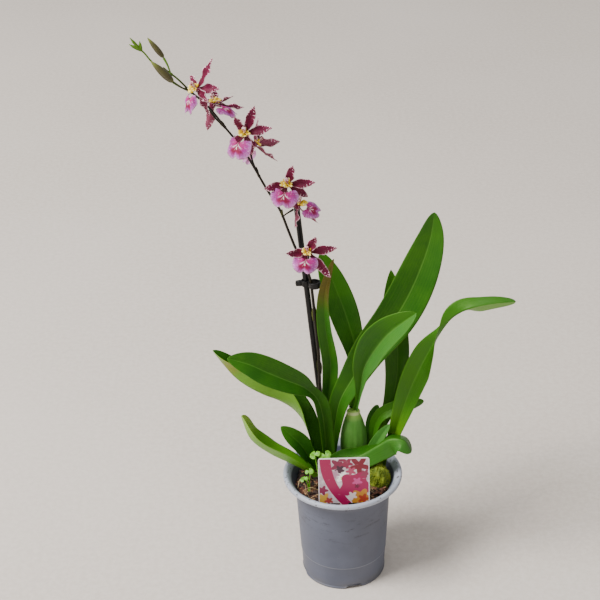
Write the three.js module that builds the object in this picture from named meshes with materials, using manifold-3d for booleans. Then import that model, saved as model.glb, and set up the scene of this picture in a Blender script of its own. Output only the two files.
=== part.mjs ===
// A potted orchid of the Oncidium kind: a thin plastic pot of bark mix, one plump pseudobulb with its leaves,
// a leafy young growth on each side, and one long flower spike tied to a stake by a clip.
// Millimetres, +Z up. The origin is the middle of the pot's underside, and the card faces -Y. The pot's own sizes
// are above that plane. Every point of the plant, the stake and the card has its height above the mix.
import * as THREE from "three";
import { mergeVertices } from "three/addons/utils/BufferGeometryUtils.js";
import Module from "manifold-3d";

const wasm = await Module();
wasm.setup();

const clearance = 0.3; // between two pieces that rest on, or sit in, each other

const pot = {
  height: 118,
  rimRadius: 60,
  rimDrop: 5, // how far the rolled rim hangs down outside
  rimWidth: 4.6,
  shoulderRadius: 47.8, // outside, where the flare starts
  shoulderHeight: 101,
  footRadius: 42.4,
  footHeight: 2.6,
  stepHeight: 27, // the moulded line round the lower part
  stepDepth: 0.7,
  wall: 1.2,
  floor: 1.6,
  floorLift: 4, // the ring of floor that stands clear of the table
  hubRadius: 20, // the middle of the floor that touches the table
  drainHoles: 8,
  drainRadius: 4,
  notches: 4,
  notchTurn: -78, // degrees, the first notch, nearly facing -Y
  notchHeight: 4.6,
  notchWidth: 22,
  sides: 36,
};

const mix = { edgeDrop: 13, crownDrop: 10, crownRadius: 43.5 }; // the drops are from the pot's top edge
const soilTop = pot.height - mix.crownDrop;

const stake = {
  radius: 2.75,
  foot: [-8.5, 34.25, -74], // on the line of its front, so that the spike clears a stake of any thickness
  head: [-39.5, 27.25, 300],
  sides: 12,
};

const tag = {
  width: 50,
  height: 51, // of the card above the mix
  thickness: 0.7,
  corner: 2.5,
  spikeWidth: 8,
  spikeLength: 20,
  lift: 1.2, // of the card's lower edge above the mix
  lean: 5, // degrees, away from -Y
};

const leafThickness = 1.2;
const edgeThickness = 0.7;

// Each leaf: the midrib's points, the way its upper face looks from base to tip, its greatest half width, the
// share of that at the base, where along the leaf it is broadest, how blunt the tip is, and how far each half
// is folded up, in degrees, at the base and at the tip.
const leaves = {
  leaf_tall_right: {
    spine: [[-9, 15, -4], [-10, 16, 18], [-7, 18, 48], [-0.5, 21, 81], [12, 24.5, 104], [30, 28, 135],
      [53, 31, 166], [66, 33, 189], [79, 35, 221], [88, 37, 252], [91, 38, 278]],
    faces: [[-0.3, -0.9, 0], [-0.3, -0.9, 0.2], [-0.2, -0.9, 0.3], [-0.1, -0.95, 0.3]],
    half: 21, base: 0.24, broad: 0.68, blunt: 0.55, fold: [28, 9],
  },
  leaf_front_right: {
    spine: [[14.6, 19.6, 70.2], [16.5, 15, 83], [19, 9, 103], [22.5, 5, 127], [32, -2, 151],
      [45, -11, 175], [59, -18, 192], [70, -23, 204]],
    faces: [[-0.3, -0.9, 0.1], [-0.3, -0.85, 0.4], [-0.3, -0.75, 0.55], [-0.25, -0.8, 0.5]],
    half: 15.5, base: 0.28, broad: 0.6, blunt: 0.6, fold: [40, 24],
  },
  leaf_centre_back: {
    spine: [[11.5, 24, 69.8], [13, 29, 88], [17, 38, 118], [10, 45, 153], [-2, 51, 190], [-17, 53, 231]],
    faces: [[-0.3, -0.9, 0], [-0.2, -0.95, 0.1], [0, -0.95, 0.2]],
    half: 15.5, base: 0.24, broad: 0.62, blunt: 0.62, fold: [35, 8],
  },
  leaf_brown_tipped: {
    spine: [[-12, 27, -4], [-12, 27, 17], [-12, 29, 51], [-12, 31, 83], [-9.5, 31, 119], [-14, 25.5, 166],
      [-14, 22, 201], [-5, 20, 241]],
    faces: [[0.2, -0.95, 0], [0.1, -0.95, 0.1], [-0.3, -0.9, 0.1], [-0.6, -0.75, 0.2]],
    half: 9.5, base: 0.5, broad: 0.5, blunt: 0.55, fold: [38, 30],
  },
  leaf_left: {
    spine: [[-15, 8, -4], [-16, 9, 22], [-17, 10, 48], [-19, 9, 72], [-25, 6, 95], [-36, 0, 114],
      [-56, -7, 130], [-72, -11, 141], [-88, -14, 152], [-104, -16, 163]],
    faces: [[0.5, -0.85, 0.1], [0.4, -0.85, 0.2], [0.25, -0.7, 0.6], [0.1, -0.6, 0.8], [0.05, -0.55, 0.8]],
    half: 16, base: 0.34, broad: 0.62, blunt: 0.6, fold: [42, 12],
  },
  leaf_left_under: {
    spine: [[-25.5, 20.5, -4], [-25.5, 20.5, 20], [-36, 19, 44], [-52, 16, 68], [-75, 10, 88],
      [-98, 6, 109], [-112, 5, 129], [-123, 8, 147]],
    faces: [[0.6, -0.3, 0.6], [0.55, 0.4, 0.75], [0.5, 0.45, 0.75], [0.6, -0.2, 0.7], [0.5, -0.6, 0.6]],
    half: 18, base: 0.3, broad: 0.58, blunt: 0.55, fold: [46, 24],
  },
  leaf_low_left: {
    spine: [[-28, 5, -4], [-33, 3, 6], [-51, 1, 20], [-72, 0, 34], [-90, -2, 53], [-99, -2, 81]],
    faces: [[0.4, 0.1, 0.9], [0.45, 0.2, 0.85], [0.75, 0.0, 0.6]],
    half: 12.5, base: 0.5, broad: 0.55, blunt: 0.42, fold: [48, 34],
  },
  leaf_small_left: {
    spine: [[-32, 15, -4], [-33, 15, 14], [-41, 15, 32], [-50, 15, 43], [-61, 17, 54]],
    faces: [[0.5, -0.5, 0.6], [0.35, -0.55, 0.75], [0.2, -0.55, 0.8]],
    half: 9.5, base: 0.4, broad: 0.58, blunt: 0.66, fold: [40, 14],
  },
  leaf_arching_right: {
    spine: [[41, 17, -4], [44, 15, 18], [52, 12, 42], [59, 10, 68], [67, 8, 97], [77, 5, 126],
      [88, 0, 154], [98, -4, 177], [106, -6, 189], [120, -9, 199], [142, -11, 205], [164, -12, 207]],
    faces: [[-0.3, -0.95, 0], [-0.3, -0.95, 0], [-0.3, -0.9, 0.1], [-0.35, -0.9, 0.2],
      [-0.6, -0.65, 0.35], [-0.8, 0.2, 0.5], [-0.2, 0.9, 0.3], [0, 0.95, 0.2]],
    half: 12, base: 0.3, broad: 0.62, blunt: 0.42, fold: [40, 16],
  },
  leaf_back_right: {
    spine: [[24, 30, -4], [28, 31, 10], [42, 34, 41], [51, 39, 62], [57, 42, 92], [58, 44, 122],
      [56, 46, 146], [53, 48, 179], [51, 49, 212]],
    faces: [[-0.5, -0.8, 0], [-0.4, -0.9, 0], [-0.2, -0.95, 0.1], [0.1, -0.95, 0.1]],
    half: 14, base: 0.2, broad: 0.64, blunt: 0.62, fold: [42, 12],
  },
  leaf_short_right: {
    spine: [[33, 23, -4], [33, 23, 40], [41, 23, 54], [54, 23, 63], [69, 23, 69], [83, 23, 75]],
    faces: [[-0.7, -0.6, 0.2], [-0.4, -0.7, 0.6], [-0.1, -0.75, 0.65], [0, -0.7, 0.7]],
    half: 8.5, base: 0.26, broad: 0.66, blunt: 0.5, fold: [42, 12],
  },
  leaf_round_stub: {
    spine: [[30, 38, -4], [31, 38, 31], [33, 40, 47], [38, 41, 61]],
    faces: [[-0.3, -0.9, 0.1], [-0.2, -0.9, 0.2]],
    half: 6.5, base: 0.4, broad: 0.62, blunt: 0.45, fold: [35, 15],
  },
  leaf_low_front: {
    spine: [[-19, 0, -4], [-17, 1, 13], [-5, 1, 23], [15, 0, 29], [37, -3, 37], [54, -6, 44], [64, -8, 40]],
    faces: [[0.6, -0.75, 0.2], [0.1, -0.85, 0.5], [0, -0.75, 0.7], [0.3, -0.8, 0.6]],
    half: 9.5, base: 0.5, broad: 0.72, blunt: 0.4, fold: [30, -18],
  },
  leaf_short_inner: {
    spine: [[31, 12, -4], [31, 11, 22], [38, 9, 42], [48, 7, 60]],
    faces: [[-0.7, -0.7, 0.2], [-0.5, -0.8, 0.5], [-0.3, -0.9, 0.5]],
    half: 7, base: 0.45, broad: 0.5, blunt: 0.6, fold: [38, 20],
  },
};
const leafStations = 13;

// The pseudobulb that carries two of the leaves: [height above the mix, half width].
const bulb = {
  centre: [12.5, 22, clearance],
  profile: [[0, 5], [5, 8.5], [14, 12.3], [27, 14], [42, 13], [56, 9.8], [64, 7.2], [68.5, 5.6]],
  flatness: 0.66,
  sides: 18,
};
const mossLump = { centre: [35, -5, 0], radii: [13, 11, 20] };

// The spike's line, from the mix up to its tip, and its radius at the foot and at the tip.
const spike = {
  line: [[-21, 29, 1], [-20, 29.5, 42], [-19.5, 30, 92], [-20, 30, 135], [-22.5, 29.5, 169],
    [-24.6, 28.3, 198], [-26.6, 27.4, 217], [-32, 26.3, 233], [-39, 26, 249], [-46, 25, 270],
    [-53, 23, 292], [-65, 20, 316], [-75, 17, 338], [-83, 14, 355], [-91, 11, 369], [-100, 8, 383],
    [-108, 6, 396], [-117, 4, 408], [-129, 1, 421], [-137, -1, 431], [-143, -2, 437], [-150, -3, 441],
    [-156, -4, 446], [-161, -5, 452], [-166, -5, 459], [-171, -6, 464]],
  footRadius: 1.9,
  tipRadius: 0.75,
  sides: 6,
  stations: 30,
};
const stalkRadius = 0.95;
const spikeTips = [[-178, -6, 467], [-177, -6, 473], [-169, -4, 469]];

// Each flower: its middle, the way it looks, the tips of its sepals and petals from the middle, the tip of its
// lip and the lip's half width, and the place on the spike's line (0 to 1) where its stalk leaves.
const flowers = {
  flower_1: {
    middle: [-121, -12, 427], looks: [-0.8, -0.5, 0.3], leaves: 0.842,
    tips: [[14, 0, 28], [19, -8, 3], [9, -15, -5], [8, 3, -26], [-8, 20, 5]],
    lip: [-6, -7, -20], lipHalf: 8, lipFace: [-0.7, -0.7, 0.1],
  },
  flower_2: {
    middle: [-111, 12, 402], looks: [0.5, 0.2, 0.8], leaves: 0.785,
    tips: [[19, 2, 8], [28, 9, -6], [-6, 3, -25], [-13, 14, 8], [2, 20, 9]],
    lip: [21, -8, -8], lipHalf: 7, lipFace: [0.35, -0.3, 0.85],
  },
  flower_3: {
    middle: [-82, -6, 382], looks: [-0.3, -0.85, 0.35], leaves: 0.745,
    tips: [[9, -3, 27], [24, -4, 6], [5, 6, -24], [-16, 5, -16], [-9, -6, 19]],
    lip: [-7, -9, -20], lipHalf: 13.5, lipFace: [-0.5, -0.8, 0.35],
  },
  flower_4: {
    middle: [-76, 22, 359], looks: [0.8, 0.5, 0.2], leaves: 0.665,
    tips: [[24, 3, 1], [21, 2, -18], [9, 18, 12], [5, 9, 23], [-13, 17, 9]],
    lip: [-10, 3, -22], lipHalf: 7, lipFace: [0.62, 0.75, 0.2],
  },
  flower_5: {
    middle: [-46, 4, 327], looks: [-0.25, -0.85, 0.35], leaves: 0.6,
    tips: [[-22, -5, -2], [25, -4, 3], [18, 4, -15], [-12, 6, -21], [5, -8, 22]],
    lip: [-4, -8, -20], lipHalf: 13.5, lipFace: [-0.2, -0.95, 0.1],
  },
  flower_6: {
    middle: [-38, 13, 300], looks: [0.6, 0.1, 0.5], leaves: 0.545,
    tips: [[-3, 3, -24], [19, 2, -19], [-8, 18, -6], [4, 14, 20], [-13, 14, 13]],
    lip: [20, 0, -8], lipHalf: 8.5, lipFace: [0.3, -0.75, 0.6],
  },
  flower_7: {
    middle: [-29, 5, 257], looks: [-0.3, -0.85, 0.35], leaves: 0.44,
    tips: [[-21, -8, 3], [27, -3, 5], [20, -4, -26], [-12, 3, -20], [7, -9, 20]],
    lip: [-4, -9, -19], lipHalf: 12.5, lipFace: [-0.1, -0.97, 0.15],
  },
};
const tepal = { half: 4.1, base: 0.3, broad: 0.55, blunt: 0.6, fold: [20, 8], thickness: 0.9, stations: 6 };
const lip = { base: 0.2, broad: 0.66, blunt: 0.42, fold: [10, -14], thickness: 0.9, stations: 8 };
const hubRadius = 3.1;
const column = { radius: 2.5, length: 7, rise: 0.2 };

const buds = {
  bud_large: {
    stalkAt: 0.875, bend: [-136, -6, 427], base: [-142, -10, 433], tip: [-160, -13, 454], radius: 4.1,
  },
  bud_middle: {
    stalkAt: 0.925, bend: [-147, 2, 445], base: [-150, 5, 450], tip: [-163, 4, 469], radius: 3.1,
  },
};

const clip = {
  height: 210, // of its middle, above the mix
  band: 1.5,
  tall: 6,
  loopLength: 12.5,
  loopWidth: 11,
  loopTurn: -32, // degrees, from +X
  tabLength: 6.5,
  tabWidth: 4.5,
};

const seedlings = {
  seedling_back: { foot: [-23, -10, 0], stalks: [[-28, -10, 37, 4.4], [-17, -11, 36, 5.2]] },
  seedling_front: { foot: [-34, -17, 0], stalks: [[-33, -16, 21, 3.6], [-39, -17, 13, 3.2]] },
};

const colours = {
  pot: [0x8d949b, 0.5], mix: [0x3a2417, 0.95], leaf: [0x3f8a2a, 0.45], bulb: [0x4f8b3f, 0.5],
  moss: [0x6f8a2a, 0.9], spike: [0x2b2412, 0.5], petal: [0x7a2140, 0.6], lip: [0xd98ac6, 0.6],
  column: [0xe8cf5a, 0.5], bud: [0x4a3f22, 0.55],
  plastic: [0x0c0c0e, 0.4], card: [0xb52a5f, 0.35], sprout: [0x86c84e, 0.5],
};

const v = (p) => new THREE.Vector3(...p);
const onMix = (p) => v(p).add(new THREE.Vector3(0, 0, soilTop)); // a point given by its height above the mix
const root = new THREE.Group();

// Adds a solid or a geometry to the part as a named piece.
function piece(name, shape, look) {
  const [color, roughness] = colours[look];
  const geometry = shape.isBufferGeometry ? shape : geometryOf(shape);
  const mesh = new THREE.Mesh(geometry, new THREE.MeshStandardMaterial({ color, roughness, metalness: 0 }));
  mesh.name = name;
  root.add(mesh);
}

function solidOf(geometry) {
  const bare = geometry.index ? geometry.toNonIndexed() : geometry.clone();
  const points = new THREE.BufferGeometry().setAttribute("position", bare.getAttribute("position"));
  const merged = mergeVertices(points, 1e-3);
  return new wasm.Manifold(new wasm.Mesh({
    numProp: 3,
    vertProperties: merged.attributes.position.array,
    triVerts: new Uint32Array(merged.index.array),
  }));
}

function geometryOf(solid) {
  const mesh = solid.getMesh();
  const geometry = new THREE.BufferGeometry();
  geometry.setAttribute("position", new THREE.BufferAttribute(mesh.vertProperties, 3));
  geometry.setIndex(new THREE.BufferAttribute(mesh.triVerts, 1));
  return geometry;
}

// A box between two corners, as a solid.
function block(low, high) {
  const size = v(high).sub(v(low));
  const middle = v(low).add(v(high)).multiplyScalar(0.5);
  return solidOf(new THREE.BoxGeometry(size.x, size.y, size.z).translate(middle.x, middle.y, middle.z));
}

const belowSoil = block([-100, -100, 0], [100, 100, soilTop + clearance]);

// Skins a list of rings of equal length and closes both ends with a strip across the ring. The second half of the
// ring is split along the other diagonal, so the two faces of a thin twisted blade stay the same distance apart.
function loft(rings) {
  const sides = rings[0].length;
  const points = rings.flat();
  const faces = [];
  for (let i = 0; i + 1 < rings.length; i++) {
    for (let j = 0; j < sides; j++) {
      const a = i * sides + j;
      const b = i * sides + ((j + 1) % sides);
      if (j < sides / 2) faces.push(a, b, a + sides, b, b + sides, a + sides);
      else faces.push(a, b, b + sides, a, b + sides, a + sides);
    }
  }
  const last = (rings.length - 1) * sides;
  for (let j = 0; j < sides - 2 - j; j++) {
    const across = sides - 2 - j;
    faces.push(j, across + 1, across, last + j, last + across, last + across + 1);
    if (across > j + 1) faces.push(j, across, j + 1, last + j, last + j + 1, last + across);
  }
  const geometry = new THREE.BufferGeometry().setFromPoints(points);
  geometry.setIndex(faces);
  return geometry;
}

// A point part of the way through a list of vectors, with straight steps between them.
function between(list, share) {
  const at = Math.min(share, 0.9999) * (list.length - 1);
  const i = Math.floor(at);
  return v(list[i]).lerp(v(list[i + 1]), at - i);
}

// The half width, as a share of the greatest, at a place from 0 (base) to 1 (tip).
function outline(shape, at) {
  if (at <= shape.broad) {
    const t = at / shape.broad;
    return shape.base + (1 - shape.base) * t * t * (3 - 2 * t);
  }
  const t = (at - shape.broad) / (1 - shape.broad);
  return Math.max(1 - t * t, 0.006) ** shape.blunt;
}

// A leaf or a petal: a folded blade of some thickness along a midrib.
function blade(shape, stations, across, thickness) {
  const curve = new THREE.CatmullRomCurve3(shape.spine.map(onMix), false, "centripetal");
  const rings = [];
  for (let i = 0; i < stations; i++) {
    const share = i / (stations - 1);
    const at = 1 - (1 - share) ** 1.15; // closer together near the tip
    const centre = curve.getPointAt(at);
    const along = curve.getTangentAt(at);
    const side = along.clone().cross(between(shape.faces, at)).normalize();
    const up = side.clone().cross(along).normalize();
    const half = shape.half * outline(shape, at);
    const fold = THREE.MathUtils.degToRad(THREE.MathUtils.lerp(shape.fold[0], shape.fold[1], at));
    const ring = [];
    for (const [order, face] of [[across, 1], [[...across].reverse(), -1]]) {
      for (const s of order) {
        const thick = THREE.MathUtils.lerp(thickness, thickness * (edgeThickness / leafThickness), Math.abs(s));
        const taper = Math.min(1, 0.35 + half / 4);
        const lift = Math.abs(s) * half * Math.sin(fold) + (face * thick * taper) / 2;
        const reach = s * half * Math.cos(fold);
        ring.push(centre.clone().addScaledVector(side, reach).addScaledVector(up, lift));
      }
    }
    rings.push(ring);
  }
  return loft(rings);
}

// A round stem along a list of points, thinning from one radius to the other.
function stem(points, footRadius, tipRadius, sides, stations) {
  const curve = new THREE.CatmullRomCurve3(points.map(onMix), false, "centripetal");
  const frames = curve.computeFrenetFrames(stations - 1, false);
  const rings = [];
  for (let i = 0; i < stations; i++) {
    const at = i / (stations - 1);
    const centre = curve.getPointAt(at);
    const radius = THREE.MathUtils.lerp(footRadius, tipRadius, at);
    const ring = [];
    for (let j = 0; j < sides; j++) {
      const turn = (j / sides) * Math.PI * 2;
      ring.push(centre.clone()
        .addScaledVector(frames.normals[i], Math.cos(turn) * radius)
        .addScaledVector(frames.binormals[i], Math.sin(turn) * radius));
    }
    rings.push(ring);
  }
  return loft(rings);
}

// Turns a lathed shape that stands on +Y so that it starts at a point and leans along a direction.
function aim(geometry, from, direction) {
  const up = new THREE.Vector3(0, 1, 0);
  const turn = new THREE.Quaternion().setFromUnitVectors(up, direction.clone().normalize());
  return geometry.applyQuaternion(turn).translate(from.x, from.y, from.z);
}

function spindle(profile, sides) {
  const points = profile.map(([height, radius]) => new THREE.Vector2(radius, height));
  return new THREE.LatheGeometry(points, sides);
}

// How much narrower the inside is below the moulded line.
function insideStep(z) {
  const taper = (pot.shoulderRadius - pot.footRadius) / pot.shoulderHeight;
  return (pot.stepHeight - z) * taper + pot.stepDepth;
}

// The pot's outside and inside radius at a height.
function outsideAt(z) {
  const lower = THREE.MathUtils.lerp(pot.footRadius, pot.shoulderRadius, Math.min(z / pot.shoulderHeight, 1));
  if (z <= pot.shoulderHeight) return z < pot.stepHeight ? lower - pot.stepDepth : lower;
  const t = (z - pot.shoulderHeight) / (pot.height - pot.shoulderHeight);
  return lower + (pot.rimRadius - pot.rimWidth + pot.wall - lower) * t ** 1.3;
}
function insideAt(z) {
  const wallAt = outsideAt(Math.max(z, pot.stepHeight)) - pot.wall;
  return z < pot.stepHeight ? wallAt - insideStep(z) : wallAt;
}

// A solid turned about the pot's axis, from an outline of [radius, height].
function turned(outline) {
  const points = outline.map(([r, z]) => new THREE.Vector2(r, z));
  return solidOf(new THREE.LatheGeometry(points, pot.sides).rotateX(Math.PI / 2));
}

const flare = [0.35, 0.7].map((t) => THREE.MathUtils.lerp(pot.shoulderHeight, pot.height - pot.rimDrop, t));

function makePot() {
  const top = pot.height;
  const floorTop = pot.floorLift + pot.floor;
  const ring = pot.footRadius - pot.stepDepth - 3; // where the raised ring of floor ends
  const outline = [
    [0, 0], [pot.hubRadius, 0], [pot.hubRadius + 2, pot.floorLift], [ring, pot.floorLift], [ring + 1, 0],
    [pot.footRadius + 0.3, 0], [pot.footRadius + 0.3, pot.footHeight - 0.6], [outsideAt(0), pot.footHeight],
    [outsideAt(pot.stepHeight - 1), pot.stepHeight - 1], [outsideAt(pot.stepHeight), pot.stepHeight],
    [outsideAt(pot.shoulderHeight), pot.shoulderHeight],
    ...flare.map((z) => [outsideAt(z), z]),
    [outsideAt(top - pot.rimDrop), top - pot.rimDrop],
    [pot.rimRadius - 1.2, top - pot.rimDrop], [pot.rimRadius, top - pot.rimDrop + 1],
    [pot.rimRadius, top - 1.6], [pot.rimRadius - 1.4, top], [pot.rimRadius - pot.rimWidth + 1, top],
    [insideAt(top - 1), top - 1],
    ...[...flare].reverse().map((z) => [insideAt(z), z]),
    [insideAt(pot.shoulderHeight), pot.shoulderHeight], [insideAt(pot.stepHeight), pot.stepHeight],
    [insideAt(pot.stepHeight - 1), pot.stepHeight - 1], [insideAt(floorTop), floorTop], [0, floorTop],
  ];
  let solid = turned(outline);
  const drill = new THREE.CylinderGeometry(pot.drainRadius, pot.drainRadius, 20, 12).rotateX(Math.PI / 2);
  for (let i = 0; i < pot.drainHoles; i++) {
    const turn = ((i + 0.5) / pot.drainHoles) * Math.PI * 2;
    const reach = (pot.hubRadius + 2 + ring) / 2;
    const hole = drill.clone().translate(reach * Math.cos(turn), reach * Math.sin(turn), 0);
    solid = solid.subtract(solidOf(hole));
  }
  for (let i = 0; i < pot.notches; i++) {
    const turn = THREE.MathUtils.degToRad(pot.notchTurn + (360 / pot.notches) * i);
    const shape = new THREE.Shape();
    shape.moveTo(-pot.notchWidth / 2, -1);
    shape.lineTo(-pot.notchWidth / 4, pot.notchHeight);
    shape.lineTo(pot.notchWidth / 4, pot.notchHeight);
    shape.lineTo(pot.notchWidth / 2, -1);
    const cut = new THREE.ExtrudeGeometry(shape, { depth: 12, bevelEnabled: false });
    cut.rotateX(Math.PI / 2).translate(0, -ring + 3, 0).rotateZ(turn + Math.PI / 2);
    solid = solid.subtract(solidOf(cut));
  }
  piece("pot", solid, "pot");
}

// The stake's own direction and the point on it at a height.
const stakeWay = v(stake.head).sub(v(stake.foot)).normalize();
const stakeFoot = onMix(stake.foot).add(new THREE.Vector3(0, stake.radius, 0));
const stakeAt = (height) => stakeFoot.clone().addScaledVector(stakeWay, (height - stake.foot[2]) / stakeWay.z);

function makeStake() {
  const bar = new THREE.CylinderGeometry(stake.radius, stake.radius, 1, stake.sides);
  const length = v(stake.head).distanceTo(v(stake.foot));
  bar.scale(1, length, 1).translate(0, length / 2, 0);
  piece("support_stake", aim(bar, stakeFoot, stakeWay), "plastic");
}

// The card with its spike, or the slot that takes it, grown by a clearance.
function tagShape(grow) {
  const half = tag.width / 2 + grow;
  const top = tag.height + grow;
  const foot = -grow;
  const spike = tag.spikeWidth / 2 + grow;
  const shoulder = -tag.spikeLength + tag.spikeWidth / 2 - grow * (Math.SQRT2 - 1); // where the point starts
  const shape = new THREE.Shape();
  shape.moveTo(-half, foot);
  shape.lineTo(-spike, foot);
  shape.lineTo(-spike, shoulder);
  shape.lineTo(0, -tag.spikeLength - grow * Math.SQRT2);
  shape.lineTo(spike, shoulder);
  shape.lineTo(spike, foot);
  shape.lineTo(half, foot);
  shape.lineTo(half, top - tag.corner);
  shape.absarc(half - tag.corner, top - tag.corner, tag.corner, 0, Math.PI / 2, false);
  shape.lineTo(-half + tag.corner, top);
  shape.absarc(-half + tag.corner, top - tag.corner, tag.corner, Math.PI / 2, Math.PI, false);
  const thick = tag.thickness + 2 * grow;
  const card = new THREE.ExtrudeGeometry(shape, { depth: thick, bevelEnabled: false, curveSegments: 4 });
  card.translate(0, 0, -thick / 2).rotateX(Math.PI / 2 - THREE.MathUtils.degToRad(tag.lean));
  const cornerReach = Math.sqrt((insideAt(soilTop) - 2 * clearance) ** 2 - (tag.width / 2) ** 2);
  const leanReach = tag.spikeLength * Math.sin(THREE.MathUtils.degToRad(tag.lean));
  const pointReach = insideAt(soilTop - tag.spikeLength) - leanReach - tag.thickness - 2 * clearance;
  const reach = Math.min(cornerReach, pointReach); // the card's lower corners and its point both clear the pot
  return solidOf(card.translate(...onMix([0, -reach, tag.lift])));
}

function makeMix() {
  const low = pot.floorLift + pot.floor + clearance;
  const edge = pot.height - mix.edgeDrop;
  const wallAt = (z) => insideAt(z) - clearance;
  const ledge = pot.stepHeight - 1 - clearance; // below the moulded line the wall is a step further in
  const cavity = [
    [0, low], [wallAt(low), low], [wallAt(ledge), ledge], [wallAt(ledge), pot.stepHeight + clearance],
    [wallAt(pot.shoulderHeight), pot.shoulderHeight], ...flare.map((z) => [wallAt(z), z]),
    [wallAt(pot.height - 1), pot.height - 1], [0, pot.height - 1],
  ];
  const heap = [
    [0, 0], [pot.rimRadius, 0], [pot.rimRadius, edge], [wallAt(edge), edge], [mix.crownRadius, soilTop], [0, soilTop],
  ];
  const length = v(stake.head).distanceTo(v(stake.foot));
  const boreRadius = stake.radius + clearance;
  const bore = new THREE.CylinderGeometry(boreRadius, boreRadius, length, stake.sides);
  bore.translate(0, length / 2 - clearance, 0);
  const filling = turned(cavity).intersect(turned(heap));
  const stakeHole = solidOf(aim(bore, stakeFoot, stakeWay));
  piece("bark_mix", filling.subtract(stakeHole).subtract(tagShape(clearance)), "mix");
}

function makeBulb() {
  const outline = [[0, 0], ...bulb.profile, [bulb.profile.at(-1)[0] + 1, 0]];
  const body = new THREE.LatheGeometry(outline.map(([z, r]) => new THREE.Vector2(r, z)), bulb.sides);
  body.rotateX(Math.PI / 2).scale(1, bulb.flatness, 1).translate(...onMix(bulb.centre));
  piece("pseudobulb", body, "bulb");
}

function makeMoss() {
  const lump = new THREE.SphereGeometry(1, 14, 10).scale(...mossLump.radii).translate(...onMix(mossLump.centre));
  piece("moss_lump", solidOf(lump).subtract(belowSoil), "moss");
}

function makeLeaves() {
  for (const [name, shape] of Object.entries(leaves)) {
    const whole = solidOf(blade(shape, leafStations, [-1, -0.5, 0, 0.5, 1], leafThickness));
    piece(name, whole.subtract(belowSoil), "leaf");
  }
}

const spikeLine = new THREE.CatmullRomCurve3(spike.line.map(v), false, "centripetal"); // heights above the mix

// A thin stalk from the spike to a point, joined to the spike.
function stalk(at, bend, end) {
  const start = spikeLine.getPointAt(at);
  return solidOf(stem([start.toArray(), bend, end], stalkRadius, stalkRadius * 0.9, 5, 5));
}

function makeSpike() {
  let solid = solidOf(stem(spike.line, spike.footRadius, spike.tipRadius, spike.sides, spike.stations));
  const neck = spike.line.at(-2);
  for (const tip of spikeTips) solid = solid.add(solidOf(stem([neck, tip], 1.1, 0.45, 5, 3)));
  for (const flower of Object.values(flowers)) {
    const back = v(flower.looks).setLength(-hubRadius - stalkRadius);
    const end = v(flower.middle).add(back);
    const start = spikeLine.getPointAt(flower.leaves);
    const bend = start.clone().lerp(end, 0.55).add(new THREE.Vector3(0, 0, 2)).addScaledVector(back, 0.5);
    solid = solid.add(stalk(flower.leaves, bend.toArray(), end.toArray()));
  }
  for (const bud of Object.values(buds)) {
    solid = solid.add(stalk(bud.stalkAt, bud.bend, bud.base));
  }
  piece("flower_spike", solid.subtract(belowSoil), "spike");
}

function makeBuds() {
  const shape = [[0, 0], [0.02, 0.4], [0.12, 0.8], [0.3, 1], [0.55, 0.9], [0.8, 0.5], [0.97, 0.12], [1, 0]];
  for (const [name, bud] of Object.entries(buds)) {
    const way = v(bud.tip).sub(v(bud.base));
    const start = onMix(bud.base).addScaledVector(way.clone().normalize(), clearance + 0.15);
    const profile = shape.map(([along, wide]) => [along * way.length(), wide * bud.radius]);
    piece(name, aim(spindle(profile, 10), start, way), "bud");
  }
}

function makeFlower(name, flower) {
  const middle = v(flower.middle);
  const looks = v(flower.looks).normalize();
  let star = solidOf(new THREE.SphereGeometry(hubRadius, 8, 5).translate(...onMix(flower.middle)));
  for (const tip of flower.tips) {
    const reach = v(tip);
    const bow = looks.clone().multiplyScalar(0.03 * reach.length());
    const spine = [reach.clone().multiplyScalar(0.04), reach.clone().multiplyScalar(0.5).sub(bow), reach];
    const points = spine.map((p) => p.add(middle).toArray());
    const shape = { ...tepal, spine: points, faces: [flower.looks, flower.looks] };
    star = star.add(solidOf(blade(shape, tepal.stations, [-1, 0, 1], tepal.thickness)));
  }
  piece(`${name}_sepals_petals`, star, "petal");

  const down = v(flower.lip);
  const downWay = down.clone().normalize();
  const face = v(flower.lipFace).normalize();
  const away = downWay.clone().addScaledVector(looks, 0.55).setLength(hubRadius + clearance + lip.thickness / 2);
  const start = middle.clone().add(away);
  const tip = middle.clone().add(down).addScaledVector(looks, 2);
  const bulge = start.clone().lerp(tip, 0.5).addScaledVector(face, 2.2);
  const shape = {
    ...lip, half: flower.lipHalf, faces: [face.toArray(), face.toArray()],
    spine: [start.toArray(), bulge.toArray(), tip.toArray()],
  };
  piece(`${name}_lip`, blade(shape, lip.stations, [-1, -0.5, 0, 0.5, 1], lip.thickness), "lip");

  const rise = looks.clone().addScaledVector(downWay, -column.rise).normalize();
  const foot = onMix(flower.middle).addScaledVector(looks, hubRadius + clearance).addScaledVector(downWay, -0.6);
  const profile = [[0, 0], [0, 0.5], [0.35, 0.75], [0.75, 1], [0.93, 0.7], [1, 0]];
  const scaled = profile.map(([along, wide]) => [along * column.length, wide * column.radius]);
  piece(`${name}_column`, aim(spindle(scaled, 8), foot, rise), "column");
}

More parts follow.
